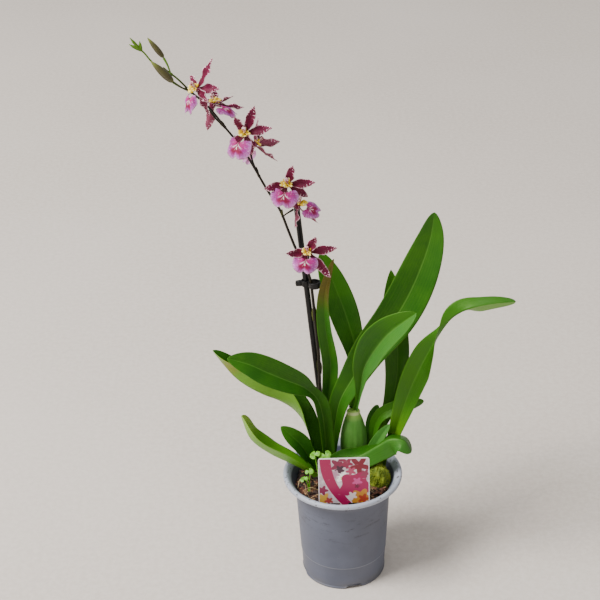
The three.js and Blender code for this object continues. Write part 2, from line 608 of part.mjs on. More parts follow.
// The clip: a collar round the stake, a loop round the spike beside it, and a thumb tab.
function makeClip() {
  const middle = stakeAt(clip.height);
  const bore = stake.radius + clearance;
  const collar = bore + clip.band;
  const ringShape = (outer, inner, offset) => {
    const shape = new THREE.Shape().absellipse(offset, 0, outer[0], outer[1], 0, Math.PI * 2);
    shape.holes.push(new THREE.Path().absellipse(offset, 0, inner[0], inner[1], 0, Math.PI * 2));
    return shape;
  };
  const settings = { depth: clip.tall, bevelEnabled: false, curveSegments: 7 };
  const extrude = (shape) => solidOf(new THREE.ExtrudeGeometry(shape, settings).translate(0, 0, -clip.tall / 2));
  const outer = [clip.loopLength / 2, clip.loopWidth / 2];
  const inner = outer.map((r) => r - clip.band);
  const offset = collar - clip.band / 2 + outer[0] - 0.4;
  const tabLow = [-collar - clip.tabLength + 1, -clip.tabWidth / 2, -clip.tall / 2];
  const tab = block(tabLow, [-bore - 0.4, clip.tabWidth / 2, clip.tall / 2 - 1]);
  const barrel = new THREE.CylinderGeometry(bore, bore, 30, 20).rotateX(Math.PI / 2);
  const solid = extrude(ringShape([collar, collar], [bore, bore], 0))
    .add(extrude(ringShape(outer, inner, offset)).rotate([0, 0, clip.loopTurn]))
    .add(tab)
    .subtract(solidOf(barrel));
  const geometry = geometryOf(solid);
  const turn = new THREE.Quaternion().setFromUnitVectors(new THREE.Vector3(0, 0, 1), stakeWay);
  geometry.applyQuaternion(turn).translate(middle.x, middle.y, middle.z);
  piece("stake_clip", geometry, "plastic");
}

function makeSeedlings() {
  for (const [name, sprout] of Object.entries(seedlings)) {
    let solid = solidOf(new THREE.SphereGeometry(2, 8, 5).translate(...onMix(sprout.foot)));
    for (const [x, y, z, radius] of sprout.stalks) {
      const end = [x, y, z];
      const bend = v(sprout.foot).lerp(v(end), 0.6).add(new THREE.Vector3(0, 0, 3)).toArray();
      const leafPad = new THREE.SphereGeometry(radius, 9, 5).scale(1, 0.7, 0.34).rotateX(-0.5);
      leafPad.translate(...onMix(end));
      solid = solid.add(solidOf(stem([sprout.foot, bend, end], 0.8, 0.6, 5, 4))).add(solidOf(leafPad));
    }
    piece(name, solid.subtract(belowSoil), "sprout");
  }
}

makePot();
makeMix();
makeStake();
piece("plant_tag", tagShape(0), "card");
makeBulb();
makeMoss();
makeLeaves();
makeSpike();
makeBuds();
for (const [name, flower] of Object.entries(flowers)) makeFlower(name, flower);
makeClip();
makeSeedlings();

export default root;
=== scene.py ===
import math

import bmesh
import bpy
import numpy as np
from mathutils import Matrix, Vector


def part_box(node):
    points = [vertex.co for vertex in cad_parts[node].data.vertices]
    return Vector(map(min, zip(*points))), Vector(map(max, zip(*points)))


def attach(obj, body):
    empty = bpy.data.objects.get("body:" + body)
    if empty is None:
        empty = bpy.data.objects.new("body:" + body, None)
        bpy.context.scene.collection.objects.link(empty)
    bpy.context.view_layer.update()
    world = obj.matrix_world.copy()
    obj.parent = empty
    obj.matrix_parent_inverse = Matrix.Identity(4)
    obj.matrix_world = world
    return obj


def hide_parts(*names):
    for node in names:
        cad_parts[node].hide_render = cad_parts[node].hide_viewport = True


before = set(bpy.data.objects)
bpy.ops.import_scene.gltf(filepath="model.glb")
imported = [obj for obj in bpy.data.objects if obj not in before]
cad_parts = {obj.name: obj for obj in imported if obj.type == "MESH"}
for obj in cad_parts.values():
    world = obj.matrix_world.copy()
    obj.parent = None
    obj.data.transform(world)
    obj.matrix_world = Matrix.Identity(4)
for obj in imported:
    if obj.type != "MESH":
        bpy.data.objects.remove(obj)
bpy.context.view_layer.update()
print("frame loaded:", len(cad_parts), "nodes")

mm = 0.001
weldReach = 2e-6  # metres
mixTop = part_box("bark_mix")[1].z
rng = np.random.default_rng(41)


def shade(red, green, blue):
    # a screen colour from 0 to 255, as the linear colour that the nodes take
    c = np.array((red, green, blue)) / 255
    linear = np.where(c <= 0.04045, c / 12.92, ((c + 0.055) / 1.055) ** 2.4)
    return (*linear.tolist(), 1.0)


def unit(v):
    return v / np.maximum(np.linalg.norm(v, axis=-1, keepdims=True), 1e-12)


def ease(x, low, high):
    # 0 below low, 1 above high, and 3t^2 - 2t^3 between them
    t = np.clip((x - low) / (high - low), 0, 1)
    return t * t * (3 - 2 * t)


def curveThrough(points, shares):
    # Centripetal Catmull-Rom curve: on each span a cubic whose end slopes come from the neighbouring points,
    # weighted by the square roots of their distances, then read at shares of its whole length.
    p = np.asarray(points, float)
    p = np.vstack((2 * p[0] - p[1], p, 2 * p[-1] - p[-2]))
    gap = np.linalg.norm(np.diff(p, axis=0), axis=1) ** 0.5
    u = np.linspace(0, len(p) - 3, 60 * (len(p) - 3) + 1)
    i = np.minimum(u.astype(int), len(p) - 4)
    w = (u - i)[:, None]
    a, b, c, d = p[i], p[i + 1], p[i + 2], p[i + 3]
    ga, gb, gc = gap[i][:, None], gap[i + 1][:, None], gap[i + 2][:, None]
    out = ((b - a) / ga - (c - a) / (ga + gb) + (c - b) / gb) * gb
    back = ((c - b) / gb - (d - b) / (gb + gc) + (d - c) / gc) * gb
    line = b + out * w + (3 * c - 3 * b - 2 * out - back) * w ** 2 + (2 * b - 2 * c + out + back) * w ** 3
    length = np.concatenate(([0], np.cumsum(np.linalg.norm(np.diff(line, axis=0), axis=1))))

    def read(at):
        at = np.clip(at, 0, 1) * length[-1]
        return np.stack([np.interp(at, length, line[:, k]) for k in range(3)], axis=-1)
    shares = np.asarray(shares, float)
    return read(shares), unit(read(shares + 0.012) - read(shares - 0.012))


def grid(points, uv, tint):
    # A rectangle of points as quads. Rows or columns that meet are welded when the mesh is made.
    rows, columns = points.shape[:2]
    a = np.arange(rows - 1)[:, None] * columns + np.arange(columns - 1)[None, :]
    faces = np.stack((a, a + 1, a + columns + 1, a + columns), axis=-1).reshape(-1, 4)
    return {"points": points.reshape(-1, 3), "faces": faces, "uv": uv.reshape(-1, 2),
            "tint": tint.reshape(-1)}


def together(surfaces):
    # several closed surfaces as one, with the face numbers moved on by the points before them
    starts = np.cumsum([0] + [len(s["points"]) for s in surfaces[:-1]])
    joined = {key: np.concatenate([s[key] for s in surfaces]) for key in ("points", "uv", "tint")}
    joined["faces"] = np.concatenate([s["faces"] + start for s, start in zip(surfaces, starts)])
    return joined


def fitted(surface, node):
    # Carries the surface linearly, axis by axis, on to the box that its CAD node fills above the mix.
    low, high = (np.array(corner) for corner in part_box(node))
    points = surface["points"]
    above = points[points[:, 2] >= low[2] - 1e-6]
    was, size = above.min(0), np.ptp(above, axis=0)
    was[2], size[2] = low[2], above[:, 2].max() - low[2]
    surface["points"] = (points - was) * (high - low) / size + low
    return surface


def weld(mesh):
    work = bmesh.new()
    work.from_mesh(mesh)
    bmesh.ops.remove_doubles(work, verts=work.verts, dist=weldReach)
    work.to_mesh(mesh)
    work.free()


def makePiece(name, surface, material, slotName, *nodes, smooth=True):
    mesh = bpy.data.meshes.new(name)
    points, faces = surface["points"], surface["faces"]
    mesh.vertices.add(len(points))
    mesh.vertices.foreach_set("co", points.astype(np.float32).ravel())
    mesh.loops.add(faces.size)
    mesh.loops.foreach_set("vertex_index", faces.astype(np.int32).ravel())
    mesh.polygons.add(len(faces))
    mesh.polygons.foreach_set("loop_start", np.arange(0, faces.size, 4, dtype=np.int32))
    mesh.update(calc_edges=True)
    mesh.polygons.foreach_set("use_smooth", np.full(len(faces), smooth))
    corners = surface["uv"][faces.ravel()].astype(np.float32)
    mesh.uv_layers.new(name="UVMap").data.foreach_set("uv", corners.ravel())
    mesh.attributes.new("tint", "FLOAT", "POINT").data.foreach_set("value",
                                                                   surface["tint"].astype(np.float32))
    weld(mesh)
    mesh.validate()
    piece = bpy.data.objects.new(name, mesh)
    bpy.context.scene.collection.objects.link(piece)
    piece.data.materials.append(material)
    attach(piece, "root")
    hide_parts(*nodes)
    return piece


def outlineOf(shape, at):
    # Half width as a share of the greatest: base + (1 - base)(3t^2 - 2t^3)^late up to broad, then
    # (1 - t^2)^blunt, less a bell-shaped dip at the waist.
    t = np.clip(at / shape["broad"], 0, 1)
    rise = shape["base"] + (1 - shape["base"]) * (t * t * (3 - 2 * t)) ** shape.get("late", 1)
    t = np.clip((at - shape["broad"]) / (1 - shape["broad"]), 0, 1)
    width = np.where(at <= shape["broad"], rise, np.maximum(1 - t * t, 0.0008) ** shape["blunt"])
    if "waist" in shape:  # drawn in where the leaf twists over
        width = width * (1 - shape["pinch"] * np.exp(-((at - shape["waist"]) / 0.065) ** 2))
    return width


def blade(shape, stations, across, thickness, edge):
    # A folded blade: each point stands sideways from the midrib by its share of the half width, and up by the
    # fold, a wave that grows towards the edge, and half the thickness, on the upper and then the under side.
    at = np.concatenate(([0], 1 - (1 - np.linspace(0, 1, stations)) ** 1.25, [1]))
    centre, along = curveThrough(np.asarray(shape["spine"], float), at)
    faces = np.asarray(shape["faces"], float)
    face = np.stack([np.interp(at, np.linspace(0, 1, len(faces)), faces[:, k]) for k in range(3)], axis=-1)
    side = unit(np.cross(along, face))
    up = np.cross(side, along)
    half = shape["half"] * outlineOf(shape, at)
    half[[0, -1]] = 0
    fold = np.radians(np.interp(at, np.linspace(0, 1, len(shape["fold"])), shape["fold"]))
    s = np.linspace(-1, 1, across)
    s = np.sign(s) * np.abs(s) ** 0.9
    ring = np.concatenate((s, s[::-1], s[:1]))
    upper = np.concatenate((np.ones(across), -np.ones(across), [1]))
    thick = (thickness + (edge - thickness) * np.abs(ring) ** 1.5) / 2
    taper = np.minimum(1, 0.25 + half / 4) * (half > 0)
    wave = shape.get("wave", 0.03) * half[:, None] * np.abs(ring) ** 2 * np.sin(
        2 * np.pi * (shape.get("waves", 2.5) * at[:, None] + shape.get("phase", 0.1) + 0.31 * (ring > 0)))
    groove = 0.35 * np.exp(-(ring / 0.07) ** 2) * np.minimum(half, 6)[:, None] / 6
    lift = (np.abs(ring) ** 1.12 * (half * np.sin(fold))[:, None] + wave - groove * thickness
            + upper * thick * taper[:, None])
    reach = ring * (half * np.cos(fold))[:, None]
    points = centre[:, None] + side[:, None] * reach[..., None] + up[:, None] * lift[..., None]
    points[[0, -1]] = centre[[0, -1], None]
    uv = np.stack(np.broadcast_arrays(at[:, None], ring * 0.5 + 0.5), axis=-1)
    tint = np.broadcast_to(upper < 0, points.shape[:2]).astype(float)
    return grid(points, uv, tint)


def onMix(surface):
    # millimetres above the mix, into the frame's metres
    surface["points"] = surface["points"] * mm + np.array((0, 0, mixTop))
    return surface


def tube(points, radii, sides, stations, lean=(0, 1, 0), ends=0.6):
    # A round stem: circles about a line, each with its radius read from the list, and a point at both ends.
    at = np.linspace(0, 1, stations)
    centre, along = curveThrough(points, at)
    radius = np.interp(at, np.linspace(0, 1, len(radii)), radii)
    first, last = centre[:1] - along[:1] * radius[0] * ends, centre[-1:] + along[-1:] * radius[-1] * ends
    centre = np.concatenate((first, centre, last))
    along = np.concatenate((along[:1], along, along[-1:]))
    radius = np.concatenate(([0], radius, [0]))
    side = unit(np.cross(along, np.asarray(lean, float)))
    up = np.cross(side, along)
    turn = np.linspace(0, 2 * np.pi, sides + 1)
    around = side[:, None] * np.cos(turn)[:, None] + up[:, None] * -np.sin(turn)[:, None]
    surface = centre[:, None] + around * radius[:, None, None]
    surface[:, -1] = surface[:, 0]
    share = np.concatenate(([0], at, [1]))
    uv = np.stack(np.broadcast_arrays(share[:, None], turn / (2 * np.pi)), axis=-1)
    return grid(surface[:, ::-1], uv[:, ::-1], np.zeros(surface.shape[:2]))


def turned(profile, sides, flat=1.0):
    # A profile of [radius, height] carried round +Z, with its circles flattened in Y.
    profile = np.asarray(profile, float)
    turn = np.linspace(0, 2 * np.pi, sides + 1)
    radius = profile[:, 0][:, None]
    points = np.stack((radius * np.cos(turn), radius * np.sin(turn) * flat,
                       np.broadcast_to(profile[:, 1][:, None], (len(profile), sides + 1))), axis=-1)
    points[:, -1] = points[:, 0]
    length = np.concatenate(([0], np.cumsum(np.linalg.norm(np.diff(profile, axis=0), axis=1))))
    uv = np.stack(np.broadcast_arrays(turn / (2 * np.pi), (length / length[-1])[:, None]), axis=-1)
    return grid(points, uv, np.zeros(points.shape[:2]))


def aimed(surface, start, way):
    # turns a surface that stands on +Z so that it points along the way, and stands it at the start
    turn = np.array(Vector((0, 0, 1)).rotation_difference(Vector(way)).to_matrix())
    surface["points"] = surface["points"] @ turn.T + np.asarray(start, float)
    return surface


def spun(profile, count):
    # a smooth line of many points through a short profile
    return curveThrough(np.column_stack((np.asarray(profile, float), np.zeros(len(profile)))),
                        np.linspace(0, 1, count))[0][:, :2]


def newMaterial(name):
    material = bpy.data.materials.new(name)
    material.use_nodes = True
    return material, material.node_tree, material.node_tree.nodes["Principled BSDF"]


def feed(tree, socket, value):
    if isinstance(value, bpy.types.NodeSocket):
        tree.links.new(value, socket)
    elif value is not None:
        socket.default_value = value


def node(tree, kind, inputs=(), output=0, **settings):
    made = tree.nodes.new(kind)
    for key, value in settings.items():
        setattr(made, key, value)
    for key, value in dict(inputs).items():
        feed(tree, made.inputs[key], value)
    return made.outputs[output]


def calc(tree, operation, a, b=None):
    inputs = [(i, value) for i, value in enumerate((a, b)) if value is not None]
    return node(tree, "ShaderNodeMath", inputs, operation=operation)


def times(tree, a, b):
    return calc(tree, "MULTIPLY", a, b)


def plus(tree, a, b):
    return calc(tree, "ADD", a, b)


def less(tree, a, b):
    return calc(tree, "SUBTRACT", a, b)


def fromMiddle(tree, across):
    return less(tree, times(tree, across, 2), 1)  # 0 to 1 across a blade, as -1 to 1 from its midrib


def mixColour(tree, factor, a, b):
    return node(tree, "ShaderNodeMix", {0: factor, 6: a, 7: b}, output=2, data_type="RGBA")


def coat(tree, colour, share, red, green, blue):
    return mixColour(tree, share, colour, shade(red, green, blue))


def between(tree, value, low, high, first=0.0, last=1.0):
    # first below low, last above high, eased between them
    return node(tree, "ShaderNodeMapRange", {0: value, 1: low, 2: high, 3: first, 4: last},
                interpolation_type="SMOOTHSTEP")


def ramp(tree, value, stops):
    made = tree.nodes.new("ShaderNodeValToRGB")
    feed(tree, made.inputs[0], value)
    for i, (place, colour) in enumerate(stops):
        stop = made.color_ramp.elements[i] if i < 2 else made.color_ramp.elements.new(place)
        stop.position = place
        stop.color = colour
    return made.outputs[0]


def noise(tree, vector, scale, detail=3.0, rough=0.55, distortion=0.0):
    return node(tree, "ShaderNodeTexNoise",
                {"Vector": vector, "Scale": scale, "Detail": detail, "Roughness": rough,
                 "Distortion": distortion})


def objectPlace(tree, scale=(1, 1, 1), location=(0, 0, 0), rotation=(0, 0, 0)):
    place = node(tree, "ShaderNodeTexCoord", output=3)
    return node(tree, "ShaderNodeMapping", {0: place, 1: location, 2: rotation, 3: scale})


def uvPlace(tree, scale=(1, 1, 1)):
    return node(tree, "ShaderNodeMapping", {0: node(tree, "ShaderNodeUVMap", uv_map="UVMap"), 3: scale})


def partsOf(tree, vector):
    parts = tree.nodes.new("ShaderNodeSeparateXYZ")
    feed(tree, parts.inputs[0], vector)
    return parts.outputs


def alongAcross(tree):
    return partsOf(tree, node(tree, "ShaderNodeUVMap", uv_map="UVMap"))[:2]


def tintOf(tree):
    return node(tree, "ShaderNodeAttribute", output=2, attribute_name="tint")


def bump(tree, shader, height, distance, strength):
    feed(tree, shader.inputs["Normal"], node(tree, "ShaderNodeBump",
                                             {"Height": height, "Distance": distance,
                                              "Strength": strength}))


def dress(tree, shader, colour, rough, relief, gloss=None):
    # the last links of a skin: its colour, a roughness that follows a pattern, its gloss and its bump
    feed(tree, shader.inputs["Base Color"], colour)
    feed(tree, shader.inputs["Roughness"], between(tree, *rough))
    if gloss is not None:
        shader.inputs["Specular IOR Level"].default_value = gloss
    bump(tree, shader, *relief)


# In each leaf, colours run base, middle, tip. half, base, broad and blunt give the outline and fold the keel.
greens = {
    "deep": shade(28, 82, 10), "fresh": shade(50, 108, 14), "bright": shade(84, 144, 20),
    "yellow": shade(108, 146, 20),
    "blue": shade(64, 118, 50), "dark": shade(12, 52, 2), "brown": shade(84, 68, 18),
    "pale": shade(156, 188, 76),
}
leaves = {
    "leaf_tall_right": {
        "spine": [[-9, 15, -4], [-10, 16, 18], [-7, 18, 48], [-0.5, 21, 81], [12, 24.5, 104], [30, 28, 135],
                  [53, 31, 166], [66, 33, 189], [79, 35, 221], [88, 37, 252], [91, 38, 278]],
        "faces": [[-0.3, -0.9, 0], [-0.3, -0.9, 0.2], [-0.2, -0.9, 0.3], [-0.1, -0.95, 0.3]],
        "half": 21, "base": 0.24, "broad": 0.68, "blunt": 0.6, "fold": [28, 9], "wave": 0.04, "waves": 2.1,
        "colours": ["fresh", "deep", "deep"], "shadedHalf": 0.3, "rib": 0.5, "scar": True,
    },
    "leaf_front_right": {
        "spine": [[14.6, 19.6, 70.2], [16.5, 15, 83], [19, 9, 103], [22.5, 5, 127], [32, -2, 151],
                  [45, -11, 175], [59, -18, 192], [70, -23, 204]],
        "faces": [[-0.3, -0.9, 0.1], [-0.3, -0.85, 0.4], [-0.3, -0.75, 0.55], [-0.25, -0.8, 0.5]],
        "half": 20, "base": 0.17, "broad": 0.62, "late": 1.7, "blunt": 0.6, "fold": [44, 42, 40, 34],
        "colours": ["fresh", "deep", "fresh"], "shadedHalf": -0.7, "shadeTone": "blue", "rib": 0.35,
    },
    "leaf_centre_back": {
        "spine": [[11.5, 24, 69.8], [13, 29, 88], [17, 38, 118], [10, 45, 153], [-2, 51, 190],
                  [-17, 53, 231]],
        "faces": [[-0.3, -0.9, 0], [-0.2, -0.95, 0.1], [0, -0.95, 0.2]],
        "half": 15.5, "base": 0.24, "broad": 0.62, "blunt": 0.62, "fold": [35, 8],
        "colours": ["fresh", "deep", "fresh"], "shadedHalf": 0.1, "rib": 0.2,
    },
    "leaf_brown_tipped": {
        "spine": [[-12, 27, -4], [-12, 27, 17], [-12, 29, 51], [-12, 31, 83], [-9.5, 31, 119],
                  [-14, 25.5, 166], [-14, 22, 201], [-5, 20, 241]],
        "faces": [[0.2, -0.95, 0], [0.1, -0.95, 0.1], [-0.3, -0.9, 0.1], [-0.6, -0.75, 0.2]],
        "half": 9.5, "base": 0.5, "broad": 0.5, "blunt": 0.6, "fold": [38, 30],
        "colours": ["fresh", "deep", "brown"], "shadedHalf": -0.1, "rib": 0.1, "brownTip": 0.86,
    },
    "leaf_left": {
        "spine": [[-15, 8, -4], [-16, 9, 22], [-17, 10, 48], [-19, 9, 72], [-24, 6, 93], [-36, 0, 110],
                  [-56, -7, 125], [-72, -11, 136], [-88, -14, 147], [-109, -16, 156]],
        "faces": [[0.5, -0.85, 0.1], [0.4, -0.85, 0.2], [0.25, -0.8, 0.6], [0.1, -0.8, 0.7],
                  [0.05, -0.75, 0.7]],
        "half": 15.5, "base": 0.6, "broad": 0.78, "late": 4, "blunt": 0.68, "fold": [46, 34, 16],
        "waist": 0.53,
        "pinch": 0.35, "colours": ["fresh", "deep", "deep"], "shadedHalf": -0.2, "rib": 0.45,
    },
    "leaf_left_under": {
        "spine": [[-25.5, 20.5, -4], [-25.5, 20.5, 20], [-34, 19, 50], [-46, 17, 73], [-60, 14, 87],
                  [-77, 9, 99],
                  [-92, 6, 111], [-103, 5, 122], [-113, 5, 136], [-124, 8, 151]],
        "faces": [[0.5, -0.6, 0.5], [0.5, -0.65, 0.5], [0.5, -0.5, 0.6], [0.35, 0.3, 0.8], [0.38, 0.25, 0.8],
                  [0.3, -0.3, 0.8]],
        "half": 20, "base": 0.3, "broad": 0.6, "blunt": 0.62, "fold": [46, 36, 58, 64, 60, 46],
        "colours": ["fresh", "deep", "deep"], "shadedHalf": 0, "rib": 0.3, "paleUnder": 1.0,
        "yellowPatch": True,
    },
    "leaf_low_left": {
        "spine": [[-28, 5, -4], [-33, 3, 6], [-51, 1, 20], [-72, 0, 34], [-90, -2, 53], [-99, -2, 81]],
        "faces": [[0.4, 0.1, 0.9], [0.45, 0.2, 0.85], [0.75, -0.1, 0.6]],
        "half": 15, "base": 0.5, "broad": 0.55, "blunt": 0.5, "fold": [48, 34],
        "colours": ["fresh", "bright", "pale"], "shadedHalf": 0, "rib": 0.3, "paleUnder": 0.35,
    },
    "leaf_small_left": {
        "spine": [[-32, 15, -4], [-33, 15, 14], [-41, 15, 32], [-50, 15, 43], [-61, 17, 54]],
        "faces": [[0.5, -0.5, 0.6], [0.3, -0.8, 0.6], [0.1, -0.8, 0.6]],
        "half": 10.5, "base": 0.45, "broad": 0.58, "blunt": 0.7, "fold": [40, 14],
        "colours": ["deep", "deep", "fresh"], "shadedHalf": -0.15, "rib": 0.3,
    },
    "leaf_arching_right": {
        "spine": [[41, 17, -4], [44, 15, 18], [52, 12, 42], [59, 10, 68], [67, 8, 97], [77, 5, 126],
                  [88, 0, 154], [98, -4, 177], [106, -6, 189], [120, -9, 199], [142, -11, 205],
                  [164, -12, 207]],
        "faces": [[-0.3, -0.95, 0], [-0.3, -0.95, 0], [-0.3, -0.9, 0.1], [-0.3, -0.9, 0.15],
                  [-0.4, -0.85, 0.25], [-0.65, -0.65, 0.35], [-0.55, 0.65, 0.35], [-0.1, 0.9, -0.35],
                  [0, 0.9, -0.35]],
        "half": 14.5, "base": 0.26, "broad": 0.5, "blunt": 0.45, "fold": [40, 34, 28, 24, 44, 46, 40],
        "waist": 0.7,
        "pinch": 0.62, "colours": ["yellow", "fresh", "deep"], "shadedHalf": 0.1, "rib": 0.25,
        "paleUnder": -0.9,
        "paleStrip": 0.72,
    },
    "leaf_back_right": {
        "spine": [[24, 30, -4], [28, 31, 10], [42, 34, 41], [51, 39, 62], [57, 42, 92], [58, 44, 122],
                  [56, 46, 146], [53, 48, 179], [51, 49, 212]],
        "faces": [[-0.5, -0.8, 0], [-0.4, -0.9, 0], [-0.2, -0.95, 0.1], [0.1, -0.95, 0.1]],
        "half": 14, "base": 0.2, "broad": 0.64, "blunt": 0.75, "fold": [42, 12],
        "colours": ["yellow", "deep", "fresh"], "shadedHalf": -0.1, "rib": 0.25,
    },
    "leaf_short_right": {
        "spine": [[33, 23, -4], [33, 23, 42], [40, 23, 60], [54, 23, 68], [69, 23, 72], [83, 23, 76]],
        "faces": [[-0.7, -0.6, 0.2], [-0.4, -0.7, 0.6], [-0.1, -0.75, 0.65], [0, -0.7, 0.7]],
        "half": 7.4, "base": 0.3, "broad": 0.7, "blunt": 0.5, "fold": [42, 12],
        "colours": ["yellow", "fresh", "deep"], "shadedHalf": 0, "rib": 0.3,
    },
    "leaf_round_stub": {
        "spine": [[30, 38, -4], [31, 38, 31], [33, 40, 47], [38, 41, 61]],
        "faces": [[-0.3, -0.9, 0.1], [-0.2, -0.9, 0.2]],
        "half": 6.5, "base": 0.4, "broad": 0.62, "blunt": 0.45, "fold": [35, 15],
        "colours": ["fresh", "blue", "blue"], "shadedHalf": 0, "rib": 0.15,
    },
    "leaf_low_front": {
        "spine": [[-19, 0, -4], [-17, 1, 13], [-5, 1, 21], [15, 0, 26], [35, -3, 41], [49, -6, 51],
                  [61, -9, 50],
                  [68, -12, 38]],
        "faces": [[0.6, -0.75, 0.2], [0.1, -0.85, 0.5], [0, -0.5, 0.8], [0.1, -0.35, 0.9], [0.3, -0.45, 0.8],
                  [0.5, -0.4, 0.75]],
        "half": 17, "base": 0.3, "broad": 0.7, "blunt": 0.5, "fold": [30, 20, -14, -50, -46, -12],
        "wave": 0.06,
        "colours": ["deep", "deep", "deep"], "shadedHalf": -0.5, "shadeTone": "blue", "rib": 0.3,
    },
    "leaf_short_inner": {
        "spine": [[31, 12, -4], [31, 11, 22], [38, 9, 42], [48, 7, 60]],
        "faces": [[-0.7, -0.7, 0.2], [-0.5, -0.8, 0.5], [-0.3, -0.9, 0.5]],
        "half": 7, "base": 0.45, "broad": 0.5, "blunt": 0.6, "fold": [38, 20],
        "colours": ["yellow", "blue", "blue"], "shadedHalf": 0, "rib": 0.2,
    },
}
leafMesh = {"stations": 72, "across": 17, "thickness": 1.0, "edge": 0.35}


def leafMaterial(name, shape):
    # Colour runs along the blade, with parallel veins that close up to the tip, a pale midrib, cloudy growth,
    # painted shade over one half, a paler underside, and a soft wax gloss.
    material, tree, shader = newMaterial(name)
    along, across = alongAcross(tree)
    under = tintOf(tree)
    base, middle, tip = (greens[key] for key in shape["colours"])
    tipAt = shape.get("brownTip", 0.98)
    startAt = tipAt - (0.1 if "brownTip" in shape else 0.3)
    place = objectPlace(tree)
    streaky = noise(tree, uvPlace(tree, (2.5, 46, 1)), 1.0, 4, 0.6)
    cloud = noise(tree, place, 38, 4, 0.6)
    ragged = plus(tree, along, times(tree, less(tree, streaky, 0.5), 0.16))
    colour = ramp(tree, ragged, [(0.03, base), (0.34, middle), (startAt, middle), (tipAt, tip)])
    side = fromMiddle(tree, across)
    edgeward = calc(tree, "ABSOLUTE", side)
    # painted shade: one half of the blade is darkened as if it faced away from the sky; the sign picks the
    # half
    if shape["shadedHalf"]:
        shadedSide = between(tree, side, -0.05, 0.05, *((1, 0) if shape["shadedHalf"] > 0 else (0, 1)))
        colour = mixColour(tree, times(tree, shadedSide, abs(shape["shadedHalf"])), colour,
                           greens[shape.get("shadeTone", "dark")])
    colour = coat(tree, colour, between(tree, cloud, 0.3, 0.75, 0, 0.25), 70, 124, 0)
    colour = mixColour(tree, between(tree, streaky, 0.35, 0.7, 0, 0.2), colour, greens["dark"])
    veins = calc(tree, "SINE", plus(tree, times(tree, side, 46), times(tree, streaky, 5.0)))
    colour = coat(tree, colour, between(tree, veins, 0.2, 1.0, 0, 0.04), 104, 156, 30)
    ribFade = between(tree, along, 0.5, 1.0, 1, 0.55)
    rib = times(tree, between(tree, edgeward, 0.012, 0.055, 1, 0), ribFade)
    colour = coat(tree, colour, times(tree, rib, 0.6 * shape["rib"]), 116, 164, 70)
    rim = between(tree, edgeward, 0.95, 1.0, 0, 0.32)
    colour = coat(tree, colour, rim, 110, 150, 44)
    paleUnder = shape.get("paleUnder", 0.25)
    colour = coat(tree, colour, times(tree, under, 0.45 + 0.5 * paleUnder), 104, 156, 44)
    if "paleStrip" in shape:
        far = between(tree, along, shape["paleStrip"], shape["paleStrip"] + 0.05)
        strip = times(tree, between(tree, side, 0.0, -0.1), far)
        colour = coat(tree, colour, times(tree, strip, 0.75), 124, 168, 84)
    if "yellowPatch" in shape:
        spot = times(tree, between(tree, ragged, 0.8, 0.88), between(tree, ragged, 0.97, 0.91))
        spot = times(tree, spot, under)
        colour = coat(tree, colour, times(tree, spot, 0.7), 126, 122, 26)
    if "brownTip" in shape:
        mottle = times(tree, between(tree, ragged, tipAt - 0.12, tipAt + 0.05),
                       between(tree, cloud, 0.35, 0.6, 0.45, 1))
        colour = coat(tree, colour, times(tree, mottle, 0.8), 74, 58, 22)
    if "scar" in shape:
        lengthways = calc(tree, "POWER", calc(tree, "DIVIDE", less(tree, along, 0.6), 0.012), 2)
        sideways = calc(tree, "POWER", calc(tree, "DIVIDE", less(tree, side, 0.35), 0.28), 2)
        far = plus(tree, lengthways, sideways)
        colour = mixColour(tree, between(tree, plus(tree, far, cloud), 0.9, 1.6, 0.55, 0), colour,
                           shade(150, 132, 96))
    dust = noise(tree, place, 900, 2, 0.7)
    colour = coat(tree, colour, between(tree, dust, 0.7, 0.8, 0, 0.2), 186, 200, 130)
    shader.inputs["Specular Tint"].default_value = (0.8, 1.0, 0.5, 1)
    height = plus(tree, times(tree, veins, 0.1), times(tree, streaky, 1.6))
    height = plus(tree, height, times(tree, noise(tree, place, 420, 2), 0.5))
    dress(tree, shader, colour, (cloud, 0.25, 0.8, 0.32, 0.5), (height, 0.00022, 0.8), gloss=0.32)
    return material


for number, (name, shape) in enumerate(leaves.items()):
    shape["phase"] = 0.1 + 0.37 * number
    surface = onMix(blade(shape, **leafMesh))
    title = name.replace("leaf_", "")
    makePiece("blade_" + title, surface, leafMaterial("leaf " + title.replace("_", " "), shape),
              "leaf", name)
print("leaves:", len(leaves))


bulb = {
    "centre": [12.5, 22, 0.3], "flat": 0.66,
    "profile": [[0, -5], [4.5, -4], [5.5, 0], [8.5, 5], [12.3, 14], [14, 27], [13, 42], [9.8, 56], [7.4, 63],
                [6.7, 65], [7.1, 66.2], [6.6, 67.6], [5.6, 69], [3, 69.5], [0, 69.5]],
}


